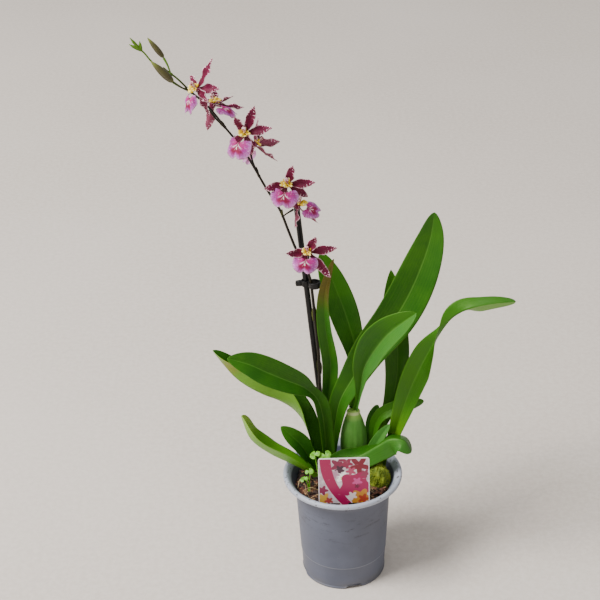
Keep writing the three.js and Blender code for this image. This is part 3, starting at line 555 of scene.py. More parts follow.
def bulbMaterial():
    # Blue-green matte skin with faint ribs down it, pale bloom in clouds, a few brown spots, and a pale neck.
    material, tree, shader = newMaterial("bulb skin")
    place = objectPlace(tree)
    parts = partsOf(tree, place)
    up = less(tree, parts[2], mixTop)
    cloud = noise(tree, place, 60, 4, 0.6)
    streaks = noise(tree, objectPlace(tree, (420, 420, 14)), 1.0, 3)
    colour = ramp(tree, calc(tree, "DIVIDE", up, 0.07),
                  [(0.0, shade(92, 126, 44)), (0.25, shade(68, 122, 40)), (0.82, shade(78, 134, 50)),
                   (0.93, shade(140, 178, 80))])
    colour = coat(tree, colour, between(tree, cloud, 0.35, 0.7, 0, 0.35), 108, 156, 74)
    colour = coat(tree, colour, between(tree, streaks, 0.45, 0.75, 0, 0.3), 60, 106, 18)
    ring = times(tree, between(tree, up, 0.0635, 0.0648), between(tree, up, 0.0682, 0.067))
    colour = coat(tree, colour, times(tree, ring, 0.7), 196, 204, 150)
    spots = noise(tree, place, 320, 2, 0.5)
    colour = coat(tree, colour, between(tree, spots, 0.7, 0.78, 0, 0.6), 88, 76, 44)
    dress(tree, shader, colour, (cloud, 0.3, 0.7, 0.5, 0.66),
          (plus(tree, streaks, times(tree, cloud, 0.6)), 0.0004, 0.7), gloss=0.25)
    return material


surface = turned(spun(bulb["profile"], 70), 72, bulb["flat"])
points = surface["points"]
turn = np.arctan2(points[:, 1], points[:, 0])
swell = 1 + 0.018 * np.sin(turn * 9 + 0.8) * ease(points[:, 2], 4, 20) * ease(-points[:, 2], -62, -45)
points[:, :2] *= swell[:, None]
points += np.array(bulb["centre"])
makePiece("bulb", fitted(onMix(surface), "pseudobulb"), bulbMaterial(), "bulb_skin", "pseudobulb")


spike = {
    "line": [[-21, 29, 1], [-20, 29.5, 42], [-19.5, 30, 92], [-20, 30, 135], [-22.5, 29.5, 169],
             [-24.6, 28.3, 198], [-26.6, 27.4, 217], [-32, 26.3, 233], [-39, 26, 249], [-46, 25, 270],
             [-53, 23, 292], [-65, 20, 316], [-75, 17, 338], [-83, 14, 355], [-91, 11, 369], [-100, 8, 383],
             [-108, 6, 396], [-117, 4, 408], [-129, 1, 421], [-137, -1, 431], [-143, -2, 437],
             [-150, -3, 441],
             [-156, -4, 446], [-161, -5, 452], [-166, -5, 459], [-171, -6, 464]],
    "foot": 1.9, "tip": 0.75, "stalk": 0.95,
    "tips": [[-178, -6, 467], [-177, -6, 473], [-169, -4, 469]],
    "lowBracts": [0.1, 0.21, 0.33],
}
flowers = {
    "flower_1": {
        "middle": [-121, -12, 427], "looks": [-0.8, -0.5, 0.3], "leaves": 0.842,
        "tips": [[14, 0, 28], [19, -8, 3], [9, -15, -5], [8, 3, -26], [-8, 20, 5]],
        "lip": [-6, -7, -20], "lipHalf": 8, "lipFace": [-0.7, -0.7, 0.1],
    },
    "flower_2": {
        "middle": [-111, 12, 402], "looks": [0.5, 0.2, 0.8], "leaves": 0.785,
        "tips": [[19, 2, 8], [28, 9, -6], [-6, 3, -25], [-13, 14, 8], [2, 20, 9]],
        "lip": [21, -8, -8], "lipHalf": 7, "lipFace": [0.35, -0.3, 0.85],
    },
    "flower_3": {
        "middle": [-82, -6, 382], "looks": [-0.3, -0.85, 0.35], "leaves": 0.745,
        "tips": [[9, -3, 27], [24, -4, 6], [5, 6, -24], [-16, 5, -16], [-9, -6, 19]],
        "lip": [-7, -9, -20], "lipHalf": 13.5, "lipFace": [-0.5, -0.8, 0.35],
    },
    "flower_4": {
        "middle": [-76, 22, 359], "looks": [0.8, 0.5, 0.2], "leaves": 0.665,
        "tips": [[24, 3, 1], [21, 2, -18], [9, 18, 12], [5, 9, 23], [-13, 17, 9]],
        "lip": [-10, 3, -22], "lipHalf": 7, "lipFace": [0.62, 0.75, 0.2],
    },
    "flower_5": {
        "middle": [-46, 4, 327], "looks": [-0.25, -0.85, 0.35], "leaves": 0.6,
        "tips": [[-22, -5, -2], [25, -4, 3], [18, 4, -15], [-12, 6, -21], [5, -8, 22]],
        "lip": [-4, -8, -20], "lipHalf": 13.5, "lipFace": [-0.2, -0.95, 0.1],
    },
    "flower_6": {
        "middle": [-38, 13, 300], "looks": [0.6, 0.1, 0.5], "leaves": 0.568,
        "tips": [[-3, 3, -24], [19, 2, -19], [-8, 18, -6], [4, 14, 20], [-13, 14, 13]],
        "lip": [20, 0, -8], "lipHalf": 8.5, "lipFace": [0.3, -0.75, 0.6],
    },
    "flower_7": {
        "middle": [-29, 5, 257], "looks": [-0.3, -0.85, 0.35], "leaves": 0.44,
        "tips": [[-21, -8, 3], [27, -3, 5], [20, -4, -26], [-12, 3, -20], [7, -9, 20]],
        "lip": [-4, -9, -19], "lipHalf": 12.5, "lipFace": [-0.1, -0.97, 0.15],
    },
}
buds = {
    "bud_large": {"leaves": 0.875, "bend": [-136, -6, 427], "base": [-142, -10, 433], "tip": [-160, -13, 454],
                  "radius": 3.5},
    "bud_middle": {"leaves": 0.925, "bend": [-147, 2, 445], "base": [-150, 5, 450], "tip": [-163, 4, 469],
                   "radius": 2.6},
}
hubRadius = 3.1


def stemMaterial():
    # Near-black brown skin that turns green towards the tip, with fine lengthways streaks and a dull gloss.
    material, tree, shader = newMaterial("spike skin")
    place = objectPlace(tree)
    parts = partsOf(tree, place)
    streaks = noise(tree, objectPlace(tree, (900, 900, 60)), 1.0, 3)
    green = between(tree, parts[2], mixTop + 0.41, mixTop + 0.455)
    colour = mixColour(tree, green, shade(20, 14, 8), shade(76, 112, 14))
    colour = coat(tree, colour, between(tree, streaks, 0.4, 0.7, 0, 0.3), 58, 50, 22)
    colour = coat(tree, colour, tintOf(tree), 92, 96, 44)
    dress(tree, shader, colour, (streaks, 0.3, 0.7, 0.42, 0.6), (streaks, 0.0003, 0.6), gloss=0.25)
    return material


def bract(foot, along, away, length, half, tint):
    # A pointed scale: a folded blade on a line that stands 1.3 mm off the stem half way and 2 mm at its tip.
    foot, along, away = (np.asarray(x, float) for x in (foot, along, away))
    spine = [foot - along * 0.8, foot + along * length * 0.5 + away * 1.3,
             foot + along * length + away * 2.0]
    shape = {"spine": spine, "faces": [away, away], "half": half, "base": 0.75, "broad": 0.4, "blunt": 0.9,
             "fold": [-48, -20], "wave": 0}
    surface = blade(shape, 12, 7, 0.35, 0.12)
    surface["tint"] = np.full(len(surface["points"]), tint)
    return surface


def makeSpike():
    # Tubes: the spike along its line, three tips that fork from its end, and each stalk from its share of the
    # line to its flower's back or its bud's base, with a bract and a small turned swelling where it leaves.
    stations = 220
    parts = [tube(spike["line"], [spike["foot"], spike["tip"]], 14, stations, ends=0.4)]
    at, way = curveThrough(spike["line"], [0.995])
    for tip in spike["tips"]:
        middle = (at[0] + np.array(tip)) / 2 + (0.6, 0, -0.8)
        parts.append(tube([at[0] - way[0] * 2, middle, tip], [1.0, 1.4, 1.3, 0.2], 12, 16))
    joints = []
    for flower in flowers.values():
        looks = unit(np.array(flower["looks"]))
        back = -looks * (hubRadius + spike["stalk"])
        start = curveThrough(spike["line"], [flower["leaves"]])[0][0]
        end = np.array(flower["middle"]) + back
        bend = start * 0.5 + end * 0.5 + (0, 0, 0.5) + back * 0.35
        parts.append(tube([start, bend, end], [0.75, 0.8, 1.15], 10, 26, lean=(0.3, 1, 0.2)))
        joints.append((flower["leaves"], end - start))
    for bud in buds.values():
        start = curveThrough(spike["line"], [bud["leaves"]])[0][0]
        parts.append(tube([start, bud["bend"], bud["base"]], [0.75, 0.8, 1.1], 10, 20, lean=(0.3, 1, 0.2)))
        joints.append((bud["leaves"], np.array(bud["base"]) - start))
    for share, way in joints:
        foot, along = (a[0] for a in curveThrough(spike["line"], [share]))
        away = unit(way - along * (way @ along))
        parts.append(bract(foot + away * 0.7, along, away, 9, 2.2, 0.55))
        swelling = turned(spun([[0, -2.6], [1.1, -1.6], [1.45, 0], [1.1, 1.6], [0, 2.6]], 14), 12)
        parts.append(aimed(swelling, foot, along))
    for number, share in enumerate(spike["lowBracts"]):
        foot, along = (a[0] for a in curveThrough(spike["line"], [share]))
        away = unit(np.array((0.4 * (-1) ** number, 1, 0)))
        parts.append(bract(foot + (0, 1.4, 0), along, away, 17, 3.4, 0.8))
    return onMix(together(parts))


makePiece("spike", fitted(makeSpike(), "flower_spike"), stemMaterial(), "flower_stem", "flower_spike")
print("spike done")


def budMaterial():
    # Olive-brown skin with three seams, dark streaks along it and a light green point.
    material, tree, shader = newMaterial("bud skin")
    along, across = alongAcross(tree)
    streaks = noise(tree, uvPlace(tree, (26, 3, 1)), 1.0, 4, 0.6)
    colour = ramp(tree, across, [(0.0, shade(88, 96, 30)), (0.25, shade(70, 64, 26)),
                                 (0.7, shade(80, 78, 30)), (0.95, shade(124, 140, 50))])
    colour = coat(tree, colour, between(tree, streaks, 0.4, 0.7, 0, 0.6), 44, 36, 20)
    seam = between(tree, calc(tree, "ABSOLUTE", calc(tree, "SINE", times(tree, along, 3 * math.pi))), 0.0,
                   0.22, 0.7, 0)
    colour = coat(tree, colour, seam, 44, 36, 24)
    dress(tree, shader, colour, (streaks, 0.3, 0.7, 0.4, 0.6), (less(tree, streaks, seam), 0.0003, 0.7))
    return material


budSkin = budMaterial()
for name, bud in buds.items():
    way = np.array(bud["tip"], float) - np.array(bud["base"])
    length = np.linalg.norm(way)
    profile = spun([[0, 0], [0.42, 0.03], [0.8, 0.13], [1, 0.32], [0.92, 0.54], [0.62, 0.76],
                    [0.25, 0.93], [0, 1]], 40)
    surface = turned(profile * (bud["radius"], length), 36)
    points = surface["points"]
    turn = np.arctan2(points[:, 1], points[:, 0])
    points[:, :2] *= (1 - 0.13 * np.abs(np.cos(1.5 * turn)) ** 12)[:, None]
    surface = aimed(surface, np.array(bud["base"]) + way / length * 0.45, way)
    makePiece(name.replace("_", "_skin_"), onMix(surface), budSkin, "bud", name)


tepal = {"half": 4.7, "base": 0.36, "broad": 0.44, "blunt": 0.92, "fold": [24, 10], "wave": 0.3, "waves": 2.3}
lipShape = {"spread": 1.85, "notch": 0.2, "ruffle": 1.5, "bulge": 2.4, "droop": 0.34, "sideDrop": 0.42}


def petalMaterial():
    # Burgundy velvet: darker towards the base, pale bars across it that gather at the tip, a white-pink
    # margin that breaks inwards, and a duller, greyer back.
    material, tree, shader = newMaterial("burgundy petal")
    along, across = alongAcross(tree)
    under = tintOf(tree)
    edgeward = calc(tree, "ABSOLUTE", fromMiddle(tree, across))
    place = objectPlace(tree)
    fine = noise(tree, place, 420, 3, 0.6)
    broad = noise(tree, place, 130, 3, 0.6)
    colour = ramp(tree, along, [(0.0, shade(82, 0, 26)), (0.3, shade(98, 0, 44)), (0.75, shade(98, 0, 50)),
                                (1.0, shade(114, 14, 62))])
    colour = coat(tree, colour, between(tree, broad, 0.35, 0.7, 0, 0.5), 64, 0, 20)
    veins = noise(tree, uvPlace(tree, (2, 30, 1)), 1.0, 2)
    colour = coat(tree, colour, between(tree, veins, 0.5, 0.7, 0, 0.25), 150, 24, 82)
    bars = noise(tree, uvPlace(tree, (19, 1.6, 1)), 1.0, 2, 0.5, 0.6)
    reach = plus(tree, between(tree, along, 0.4, 1.0, -0.12, 0.03), times(tree, edgeward, 0.05))
    pale = between(tree, plus(tree, bars, reach), 0.59, 0.63)
    pale = times(tree, pale, between(tree, along, 0.3, 0.75, 0.3, 0.95))
    colour = coat(tree, colour, pale, 244, 206, 216)
    margin = between(tree, plus(tree, edgeward, times(tree, less(tree, fine, 0.5), 0.4)), 0.86, 0.94)
    colour = coat(tree, colour, times(tree, margin, 0.85), 240, 196, 210)
    colour = coat(tree, colour, times(tree, under, 0.28), 160, 96, 116)
    dress(tree, shader, colour, (fine, 0.3, 0.7, 0.48, 0.68), (plus(tree, veins, fine), 0.0003, 0.7),
          gloss=0.25)
    return material


def lipMaterial():
    # Lilac-pink that pales to the rim, burgundy at the throat, and magenta and white flames down the middle.
    material, tree, shader = newMaterial("lilac lip")
    along, across = alongAcross(tree)
    place = objectPlace(tree)
    side = fromMiddle(tree, across)
    edgeward = calc(tree, "ABSOLUTE", side)
    fine = noise(tree, place, 520, 3, 0.65)
    rays = noise(tree, uvPlace(tree, (2.2, 22, 1)), 1.0, 3, 0.6)
    colour = ramp(tree, along, [(0.2, shade(112, 0, 42)), (0.4, shade(166, 26, 112)),
                                (0.7, shade(160, 60, 146)), (0.92, shade(184, 114, 184)),
                                (1.0, shade(222, 178, 216))])
    colour = coat(tree, colour, between(tree, rays, 0.46, 0.64, 0, 0.7), 148, 10, 96)
    colour = coat(tree, colour, between(tree, fine, 0.54, 0.7, 0, 0.5), 238, 192, 224)
    flame = plus(tree, edgeward, times(tree, less(tree, rays, 0.5), 0.5))
    inner = times(tree, between(tree, flame, 0.2, 0.38, 1, 0), between(tree, along, 0.6, 0.88, 1, 0))
    colour = coat(tree, colour, inner, 126, 0, 54)
    white = times(tree, between(tree, flame, 0.04, 0.08, 1, 0),
                  times(tree, between(tree, along, 0.26, 0.36), between(tree, along, 0.5, 0.62, 1, 0)))
    colour = coat(tree, colour, white, 244, 226, 226)
    wings = times(tree, between(tree, edgeward, 0.3, 0.36), between(tree, edgeward, 0.46, 0.4))
    wings = times(tree, wings, between(tree, along, 0.3, 0.6, 0.9, 0))
    colour = coat(tree, colour, wings, 242, 220, 232)
    colour = coat(tree, colour, times(tree, tintOf(tree), 0.35), 214, 178, 200)
    dress(tree, shader, colour, (fine, 0.3, 0.7, 0.46, 0.66), (plus(tree, rays, fine), 0.0003, 0.7),
          gloss=0.3)
    return material


def crestMaterial():
    # tint 0 is the column, pink with burgundy speckles; tint 1 the crest, egg yellow with white tips
    material, tree, shader = newMaterial("crest and column")
    across = alongAcross(tree)[1]
    place = objectPlace(tree)
    fine = noise(tree, place, 700, 3, 0.6)
    body = mixColour(tree, between(tree, fine, 0.46, 0.56), shade(226, 190, 190), shade(122, 30, 52))
    crest = ramp(tree, plus(tree, across, times(tree, less(tree, fine, 0.5), 0.5)),
                 [(0.1, shade(170, 110, 0)), (0.4, shade(214, 168, 0)), (0.75, shade(232, 204, 0)),
                  (0.97, shade(250, 238, 190))])
    dress(tree, shader, mixColour(tree, tintOf(tree), body, crest), (fine, 0.3, 0.7, 0.4, 0.6),
          (fine, 0.0003, 0.6))
    return material


def makeStar(flower, seed):
    # A turned hub that looks along the flower's way, and a folded blade from the middle to each tip, bowed
    # back by 3% of its length at half way and leant by the sine of its number.
    looks = unit(np.array(flower["looks"]))
    middle = np.array(flower["middle"], float)
    hub = spun([[0, -1], [0.6, -0.8], [1, 0], [0.6, 0.8], [0, 1]], 18) * hubRadius * 0.95
    parts = [aimed(turned(hub, 20), middle, looks)]
    for number, tip in enumerate(flower["tips"]):
        reach = np.array(tip, float)
        bow = looks * 0.03 * np.linalg.norm(reach)
        spine = middle + np.array([reach * 0.04, reach * 0.5 - bow, reach])
        lean = unit(np.cross(looks, reach)) * 0.35 * math.sin(2.4 * (number + seed))
        shape = {**tepal, "spine": spine, "faces": [looks, looks + lean * 0.5, looks + lean],
                 "phase": 0.23 * number + 0.41 * seed}
        parts.append(blade(shape, 34, 11, 0.8, 0.3))
    return onMix(together(parts))


def makeLip(flower, seed):
    # A fan about the throat: reach grows out to a rim that is notched in the middle and shorter at the sides,
    # and the height over it is a bulge, a droop with the distance sideways, and ruffles at the rim.
    looks, face = unit(np.array(flower["looks"])), unit(np.array(flower["lipFace"]))
    middle, down = np.array(flower["middle"], float), np.array(flower["lip"], float)
    start = middle + unit(unit(down) + looks * 0.55) * (hubRadius + 0.75)
    tip = middle + down + looks * 2
    along = unit(tip - start)
    side = unit(np.cross(along, face))
    out = np.cross(side, along)
    length = np.linalg.norm(tip - start)
    angle = np.linspace(-lipShape["spread"], lipShape["spread"], 49)
    share = np.linspace(0, 1, 22) ** 0.9
    reach = np.concatenate((share, share[-2::-1]))[:, None]
    upper = np.concatenate((np.ones(22), -np.ones(21)))[:, None]
    rim = length * (1 - lipShape["sideDrop"] * (angle / lipShape["spread"]) ** 2)
    rim = rim * (1 - lipShape["notch"] * np.exp(-(angle / 0.16) ** 2))
    waist = 0.28 + 0.72 * ease(reach, 0.12, 0.62)
    x = rim * reach * np.sin(angle) * waist * flower["lipHalf"] / (length * 0.72)
    y = rim * reach * (np.cos(angle) * waist + (1 - waist))
    ruffle = lipShape["ruffle"] * ease(reach, 0.45, 1) * np.sin(angle * 6.3 + seed * 1.7)
    ruffle = ruffle + 0.35 * ease(reach, 0.6, 1) * np.sin(angle * 17 + seed)
    height = lipShape["bulge"] * np.sin(np.pi * reach) + ruffle - lipShape["droop"] * np.abs(x) ** 1.4 * 0.25
    thin = 0.45 * (1 - reach ** 8) * (1 - (angle / lipShape["spread"]) ** 8)
    height = height + upper * thin
    points = start + along * y[..., None] + side * x[..., None] + out * height[..., None]
    points[[0, -1]] = points[0].mean(0)
    points[:, [0, -1]] = (points[:, [0, -1]] + points[::-1, [0, -1]]) / 2
    uv = np.stack(np.broadcast_arrays(reach, angle / (2 * lipShape["spread"]) + 0.5), axis=-1)
    tint = np.broadcast_to(upper < 0, points.shape[:2]).astype(float)
    return onMix(grid(points, uv, tint))


def makeCrest(flower, seed):
    # A turned column that rises from the throat, and 16 turned drops round it: each stands 2.4 radians on
    # from the one before, further out by the root of its number.
    looks = unit(np.array(flower["looks"]))
    down = unit(np.array(flower["lip"], float))
    foot = np.array(flower["middle"], float) + looks * (hubRadius + 0.3) - down * 1.2
    rise = unit(looks - down * 0.7)
    body = spun([[0, 0], [1.15, 0.15], [1.2, 1.6], [1.5, 3.6], [2.1, 5.2], [1.75, 6.6], [0.7, 7], [0, 7]],
                34)
    parts = [aimed(turned(body, 24), foot, rise)]
    side = unit(np.cross(rise, down))
    for number in range(16):
        turn = 2.4 * number + seed
        away = side * math.cos(turn) + np.cross(rise, side) * math.sin(turn)
        spread = 0.5 + 0.75 * math.sqrt(number)
        size = 1.0 + 0.45 * math.sin(3.7 * number + 1.9 * seed)
        drop = spun([[0, 0], [0.75, 0.3], [1.15, 1.8], [0.8, 3.3], [0, 4.1]], 16) * size
        knob = aimed(turned(drop, 12), foot + away * spread * 0.7 + down * 1.2,
                     looks * (0.9 + 0.5 * math.sin(5.1 * number + seed)) + away * spread * 0.35)
        knob["tint"][:] = 1
        parts.append(knob)
    return onMix(together(parts))


petalSkin, lipSkin, crestSkin = petalMaterial(), lipMaterial(), crestMaterial()
for seed, (name, flower) in enumerate(flowers.items()):
    number = name[-1]
    makePiece("star_" + number, fitted(makeStar(flower, seed), name + "_sepals_petals"), petalSkin, "petal",
              name + "_sepals_petals")
    makePiece("lip_" + number, fitted(makeLip(flower, seed), name + "_lip"), lipSkin, "flower_lip",
              name + "_lip")
    makePiece("crest_" + number, makeCrest(flower, seed), crestSkin, "flower_column",
              name + "_column")
print("flowers:", len(flowers))


stake = {"radius": 2.75, "ribs": 16, "ribDepth": 0.09}
clip = {"height": 210, "band": 1.5, "tall": 6, "loopLength": 12.5, "loopWidth": 11, "loopTurn": -32,
        "tabLength": 6.5, "tabWidth": 4.5}


def blackPlastic(name, streak):
    # Black moulded plastic: fine grain, pale scuffs and dust, and uneven gloss.
    material, tree, shader = newMaterial(name)
    place = objectPlace(tree)
    grain = noise(tree, objectPlace(tree, (700, 700, 700 * streak)), 1.0, 3)
    cloud = noise(tree, place, 70, 4, 0.6)
    colour = mixColour(tree, between(tree, cloud, 0.35, 0.75), shade(7, 7, 8), shade(18, 17, 18))
    scuff = between(tree, times(tree, grain, cloud), 0.36, 0.44, 0, 0.35)
    colour = coat(tree, colour, scuff, 80, 78, 76)
    dress(tree, shader, colour, (cloud, 0.3, 0.7, 0.28, 0.46), (grain, 0.00025, 0.5), gloss=0.25)
    return material


stakeLow, stakeHigh = (np.array(corner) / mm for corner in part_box("support_stake"))
# the stake leans to -X and -Y as it goes up
stakeFoot = np.array((stakeHigh[0] - stake["radius"], stakeHigh[1] - stake["radius"], stakeLow[2]))
stakeHead = np.array((stakeLow[0] + stake["radius"], stakeLow[1] + stake["radius"], stakeHigh[2]))
stakeWay = unit(stakeHead - stakeFoot)
stakeLength = np.linalg.norm(stakeHead - stakeFoot)
profile = [[0, 0], [0.5, 0.02], [1.2, 4], [2.5, 9], [2.74, 11], [2.75, 14], [2.75, stakeLength / 2],
           [2.75, stakeLength - 3], [2.72, stakeLength - 1.2], [2.3, stakeLength - 0.3],
           [1.5, stakeLength], [0, stakeLength]]
surface = turned(profile, 64)
points = surface["points"]
turn = np.arctan2(points[:, 1], points[:, 0])
ribs = 0.5 + 0.5 * np.cos(turn * stake["ribs"])
points[:, :2] *= (1 - stake["ribDepth"] / stake["radius"] * ribs)[:, None]
surface = aimed(surface, stakeFoot, stakeWay)
surface["points"] = surface["points"] * mm
makePiece("stake", fitted(surface, "support_stake"), blackPlastic("stake plastic", 0.04), "black_plastic",
          "support_stake")


def band(halfLength, halfWidth, thick, tall, centre, sides):
    # A flat strip bent into an ellipse: a rounded rectangle carried round it, standing up along +Z.
    turn = np.linspace(0, 2 * np.pi, sides + 1)[:, None]
    corner = np.linspace(0, 2 * np.pi, 33)[None, :]
    across = np.sign(np.cos(corner)) * np.abs(np.cos(corner)) ** 0.35 * thick / 2
    up = np.sign(np.sin(corner)) * np.abs(np.sin(corner)) ** 0.35 * tall / 2
    x = (halfLength + across) * np.cos(turn) + centre
    y = (halfWidth + across) * np.sin(turn)
    points = np.stack(np.broadcast_arrays(x, y, up), axis=-1).copy()
    points[-1] = points[0]
    points[:, -1] = points[:, 0]
    uv = np.stack(np.broadcast_arrays(turn, corner), axis=-1) / (2 * np.pi)
    return grid(points[:, ::-1], uv[:, ::-1], np.zeros(points.shape[:2]))


def makeClip():
    # Two bands side by side, round the stake and round the spike, and a tab of rounded rectangles: cosine and
    # sine to the power 0.4, times a half width and a half height that close at the ends.
    bore = stake["radius"] + 0.3
    collar = bore + clip["band"]
    outer = np.array((clip["loopLength"], clip["loopWidth"])) / 2
    offset = collar - clip["band"] / 2 + outer[0] - 0.4
    ring = band(bore + clip["band"] / 2, bore + clip["band"] / 2, clip["band"], clip["tall"], 0, 56)
    loop = band(*(outer - clip["band"] / 2), clip["band"], clip["tall"], offset, 64)
    angle = math.radians(clip["loopTurn"])
    c, s = math.cos(angle), math.sin(angle)
    loop["points"] = loop["points"] @ np.array(((c, -s, 0), (s, c, 0), (0, 0, 1))).T
    # the tab: rounded rectangles that grow a little along -X, with a pinched grip
    share = np.linspace(0, 1, 14)
    width = clip["tabWidth"] / 2 * (0.8 + 0.2 * np.sin(share * 6)) * np.minimum(1,
                                                                                (1.0001 - share) * 8) ** 0.3
    height = (clip["tall"] / 2 - 0.2) * np.minimum(1, (1.0001 - share) * 8) ** 0.3
    corner = np.linspace(0, 2 * np.pi, 33)
    y = np.sign(np.cos(corner)) * np.abs(np.cos(corner)) ** 0.4 * width[:, None]
    z = np.sign(np.sin(corner)) * np.abs(np.sin(corner)) ** 0.4 * height[:, None]
    x = np.broadcast_to((-bore - 0.7 - share * (clip["tabLength"] - 1 + clip["band"] - 0.7))[:, None],
                        y.shape)
    points = np.stack((x, y, z), axis=-1)
    points = np.concatenate((points[:1].mean(1, keepdims=True).repeat(33, 1), points,
                             points[-1:].mean(1, keepdims=True).repeat(33, 1)))
    points[:, -1] = points[:, 0]
    uv = np.stack(np.broadcast_arrays(np.linspace(0, 1, 16)[:, None], corner / (2 * np.pi)), axis=-1)
    tab = grid(points[:, ::-1], uv[:, ::-1], np.zeros(points.shape[:2]))
    where = stakeFoot + stakeWay * ((clip["height"] + mixTop / mm - stakeFoot[2]) / stakeWay[2])
    surface = aimed(together([ring, loop, tab]), where, stakeWay)
    surface["points"] = surface["points"] * mm
    return surface


makePiece("clip", fitted(makeClip(), "stake_clip"), blackPlastic("clip plastic", 1), "black_plastic",
          "stake_clip")


pot = {
    "height": 118, "rimRadius": 60, "rimDrop": 5, "rimWidth": 4.6, "shoulderRadius": 47.8,
    "shoulderHeight": 101,
    "footRadius": 42.4, "footHeight": 2.6, "stepHeight": 27, "stepDepth": 0.4, "wall": 1.2, "floor": 1.6,
    "floorLift": 4, "hubRadius": 20, "drainHoles": 8, "drainRadius": 4, "notches": 4, "notchTurn": -78,
    "notchHeight": 3.9, "notchWidth": 22,
}


def potMaterial():
    # Grey moulded plastic: a pale satin skin with soft flow clouds, scuffs and dust low down, dark specks of
    # mix on the rim, a painted highlight over the rim's top, and a faint painted highlight along the moulded
    # step.
    material, tree, shader = newMaterial("grey pot plastic")
    place = objectPlace(tree)
    parts = partsOf(tree, place)
    up = parts[2]
    cloud = noise(tree, place, 22, 5, 0.6)
    fine = noise(tree, place, 900, 3, 0.6)
    smear = noise(tree, objectPlace(tree, (60, 60, 240), rotation=(0, 0.12, 0)), 1.0, 4, 0.65)
    colour = mixColour(tree, between(tree, cloud, 0.3, 0.7), shade(73, 78, 94), shade(86, 91, 107))
    # painted highlight: the top of the rim is painted paler, as if lit from above
    rim = between(tree, up, 0.1115, 0.1135)
    colour = coat(tree, colour, times(tree, rim, 0.85), 172, 178, 192)
    scuff = times(tree, between(tree, smear, 0.56, 0.63), between(tree, fine, 0.4, 0.6, 0.3, 1))
    zone = times(tree, between(tree, up, 0.055, 0.07), between(tree, up, 0.098, 0.085))
    colour = coat(tree, colour, times(tree, times(tree, scuff, zone), 0.7), 46, 48, 58)
    # painted highlight: a paler band along the moulded step, where light would catch the ledge
    line = times(tree, between(tree, up, 0.0262, 0.0268), between(tree, up, 0.0278, 0.0272))
    colour = coat(tree, colour, times(tree, line, 0.5), 132, 137, 148)
    low = times(tree, between(tree, up, 0.012, 0.0, 0, 1), between(tree, cloud, 0.4, 0.6, 0.2, 1))
    colour = coat(tree, colour, times(tree, low, 0.5), 96, 92, 86)
    dirt = noise(tree, place, 260, 4, 0.7)
    dirt = times(tree, between(tree, dirt, 0.57, 0.63), between(tree, up, 0.108, 0.1145))
    colour = coat(tree, colour, times(tree, dirt, 0.85), 62, 50, 44)
    specks = times(tree, between(tree, noise(tree, place, 480, 1, 0.5), 0.74, 0.78), 0.6)
    colour = coat(tree, colour, specks, 60, 58, 62)
    dress(tree, shader, colour, (cloud, 0.3, 0.7, 0.42, 0.56),
          (plus(tree, fine, times(tree, cloud, 2)), 0.00015, 0.5))
    return material


def makePot():
    # A profile up the outside, over the rim and down the inside, carried round +Z. Its outside radius is a
    # straight taper with the moulded step, then a flare to the rim by the height's share to the power 1.3.
    def outsideAt(z):
        share = min(z / pot["shoulderHeight"], 1)
        lower = pot["footRadius"] + (pot["shoulderRadius"] - pot["footRadius"]) * share
        if z <= pot["shoulderHeight"]:
            return lower - (pot["stepDepth"] if z < pot["stepHeight"] else 0)
        t = (z - pot["shoulderHeight"]) / (pot["height"] - pot["shoulderHeight"])
        return lower + (pot["rimRadius"] - pot["rimWidth"] + pot["wall"] - lower) * t ** 1.3

    top, ring = pot["height"], pot["footRadius"] - pot["stepDepth"] - 3
    floorTop = pot["floorLift"] + pot["floor"]
    flare = np.linspace(pot["shoulderHeight"], top - pot["rimDrop"], 12)
    lip = pot["rimRadius"]
    hub, lift, foot, wall = pot["hubRadius"], pot["floorLift"], pot["footRadius"], pot["wall"]
    outside = [[0, 0], [hub - 1, 0], [hub, 0.3], [hub + 1.6, lift - 0.4], [hub + 2.4, lift],
               [ring - 0.3, lift],
               [ring, lift - 0.3], [ring + 0.6, 0.3], [ring + 1.1, 0], [foot - 0.3, 0], [foot + 0.1, 0.2],
               [foot + 0.3, 0.6], [foot + 0.3, 1.7], [foot, 2.1], [outsideAt(0) + 0.15, 2.3],
               [outsideAt(0), pot["footHeight"]]]
    outside += [[outsideAt(z), z] for z in (4, 6, 14, 25.6)]
    outside += [[outsideAt(26) + 0.15, 26.3], [outsideAt(27) - 0.1, 26.8], [outsideAt(27.4) + 0.08, 27.2]]
    outside += [[outsideAt(z), z] for z in (28, 50, 75, 99, *flare)]
    outside += [[lip - 2.2, top - 5], [lip - 1, top - 4.9], [lip - 0.25, top - 4.4], [lip, top - 3.5],
                [lip, top - 2], [lip - 0.4, top - 0.9], [lip - 1.3, top - 0.15], [lip - 2.4, top],
                [lip - 3.5, top - 0.2], [lip - 4.3, top - 0.9], [outsideAt(top - 2) - wall, top - 2.2]]
    inside = [[outsideAt(z) - wall, z] for z in (*flare[::-1], 60, 28)]
    inside += [[outsideAt(8) - wall - 1, 8], [outsideAt(6) - wall - 2, floorTop], [20, floorTop],
               [0, floorTop]]
    surface = turned(np.array(outside + inside), 216)
    points = surface["points"]
    # the notches: near each one the foot is raised to the notch's height, with sloping ends
    turn = np.degrees(np.arctan2(points[:, 1], points[:, 0]))
    pitch = 360 / pot["notches"]
    off = np.abs((turn - pot["notchTurn"] + pitch / 2) % pitch - pitch / 2) * math.radians(pot["footRadius"])
    raised = pot["notchHeight"] * (1 - ease(off, pot["notchWidth"] * 0.25, pot["notchWidth"] * 0.5))
    radius = np.hypot(points[:, 0], points[:, 1])
    low = (radius > ring - 1) & (points[:, 2] < raised)
    points[:, 2] = np.where(low, raised + points[:, 2] * 0.02, points[:, 2])
    surface["points"] = points * mm
    return surface


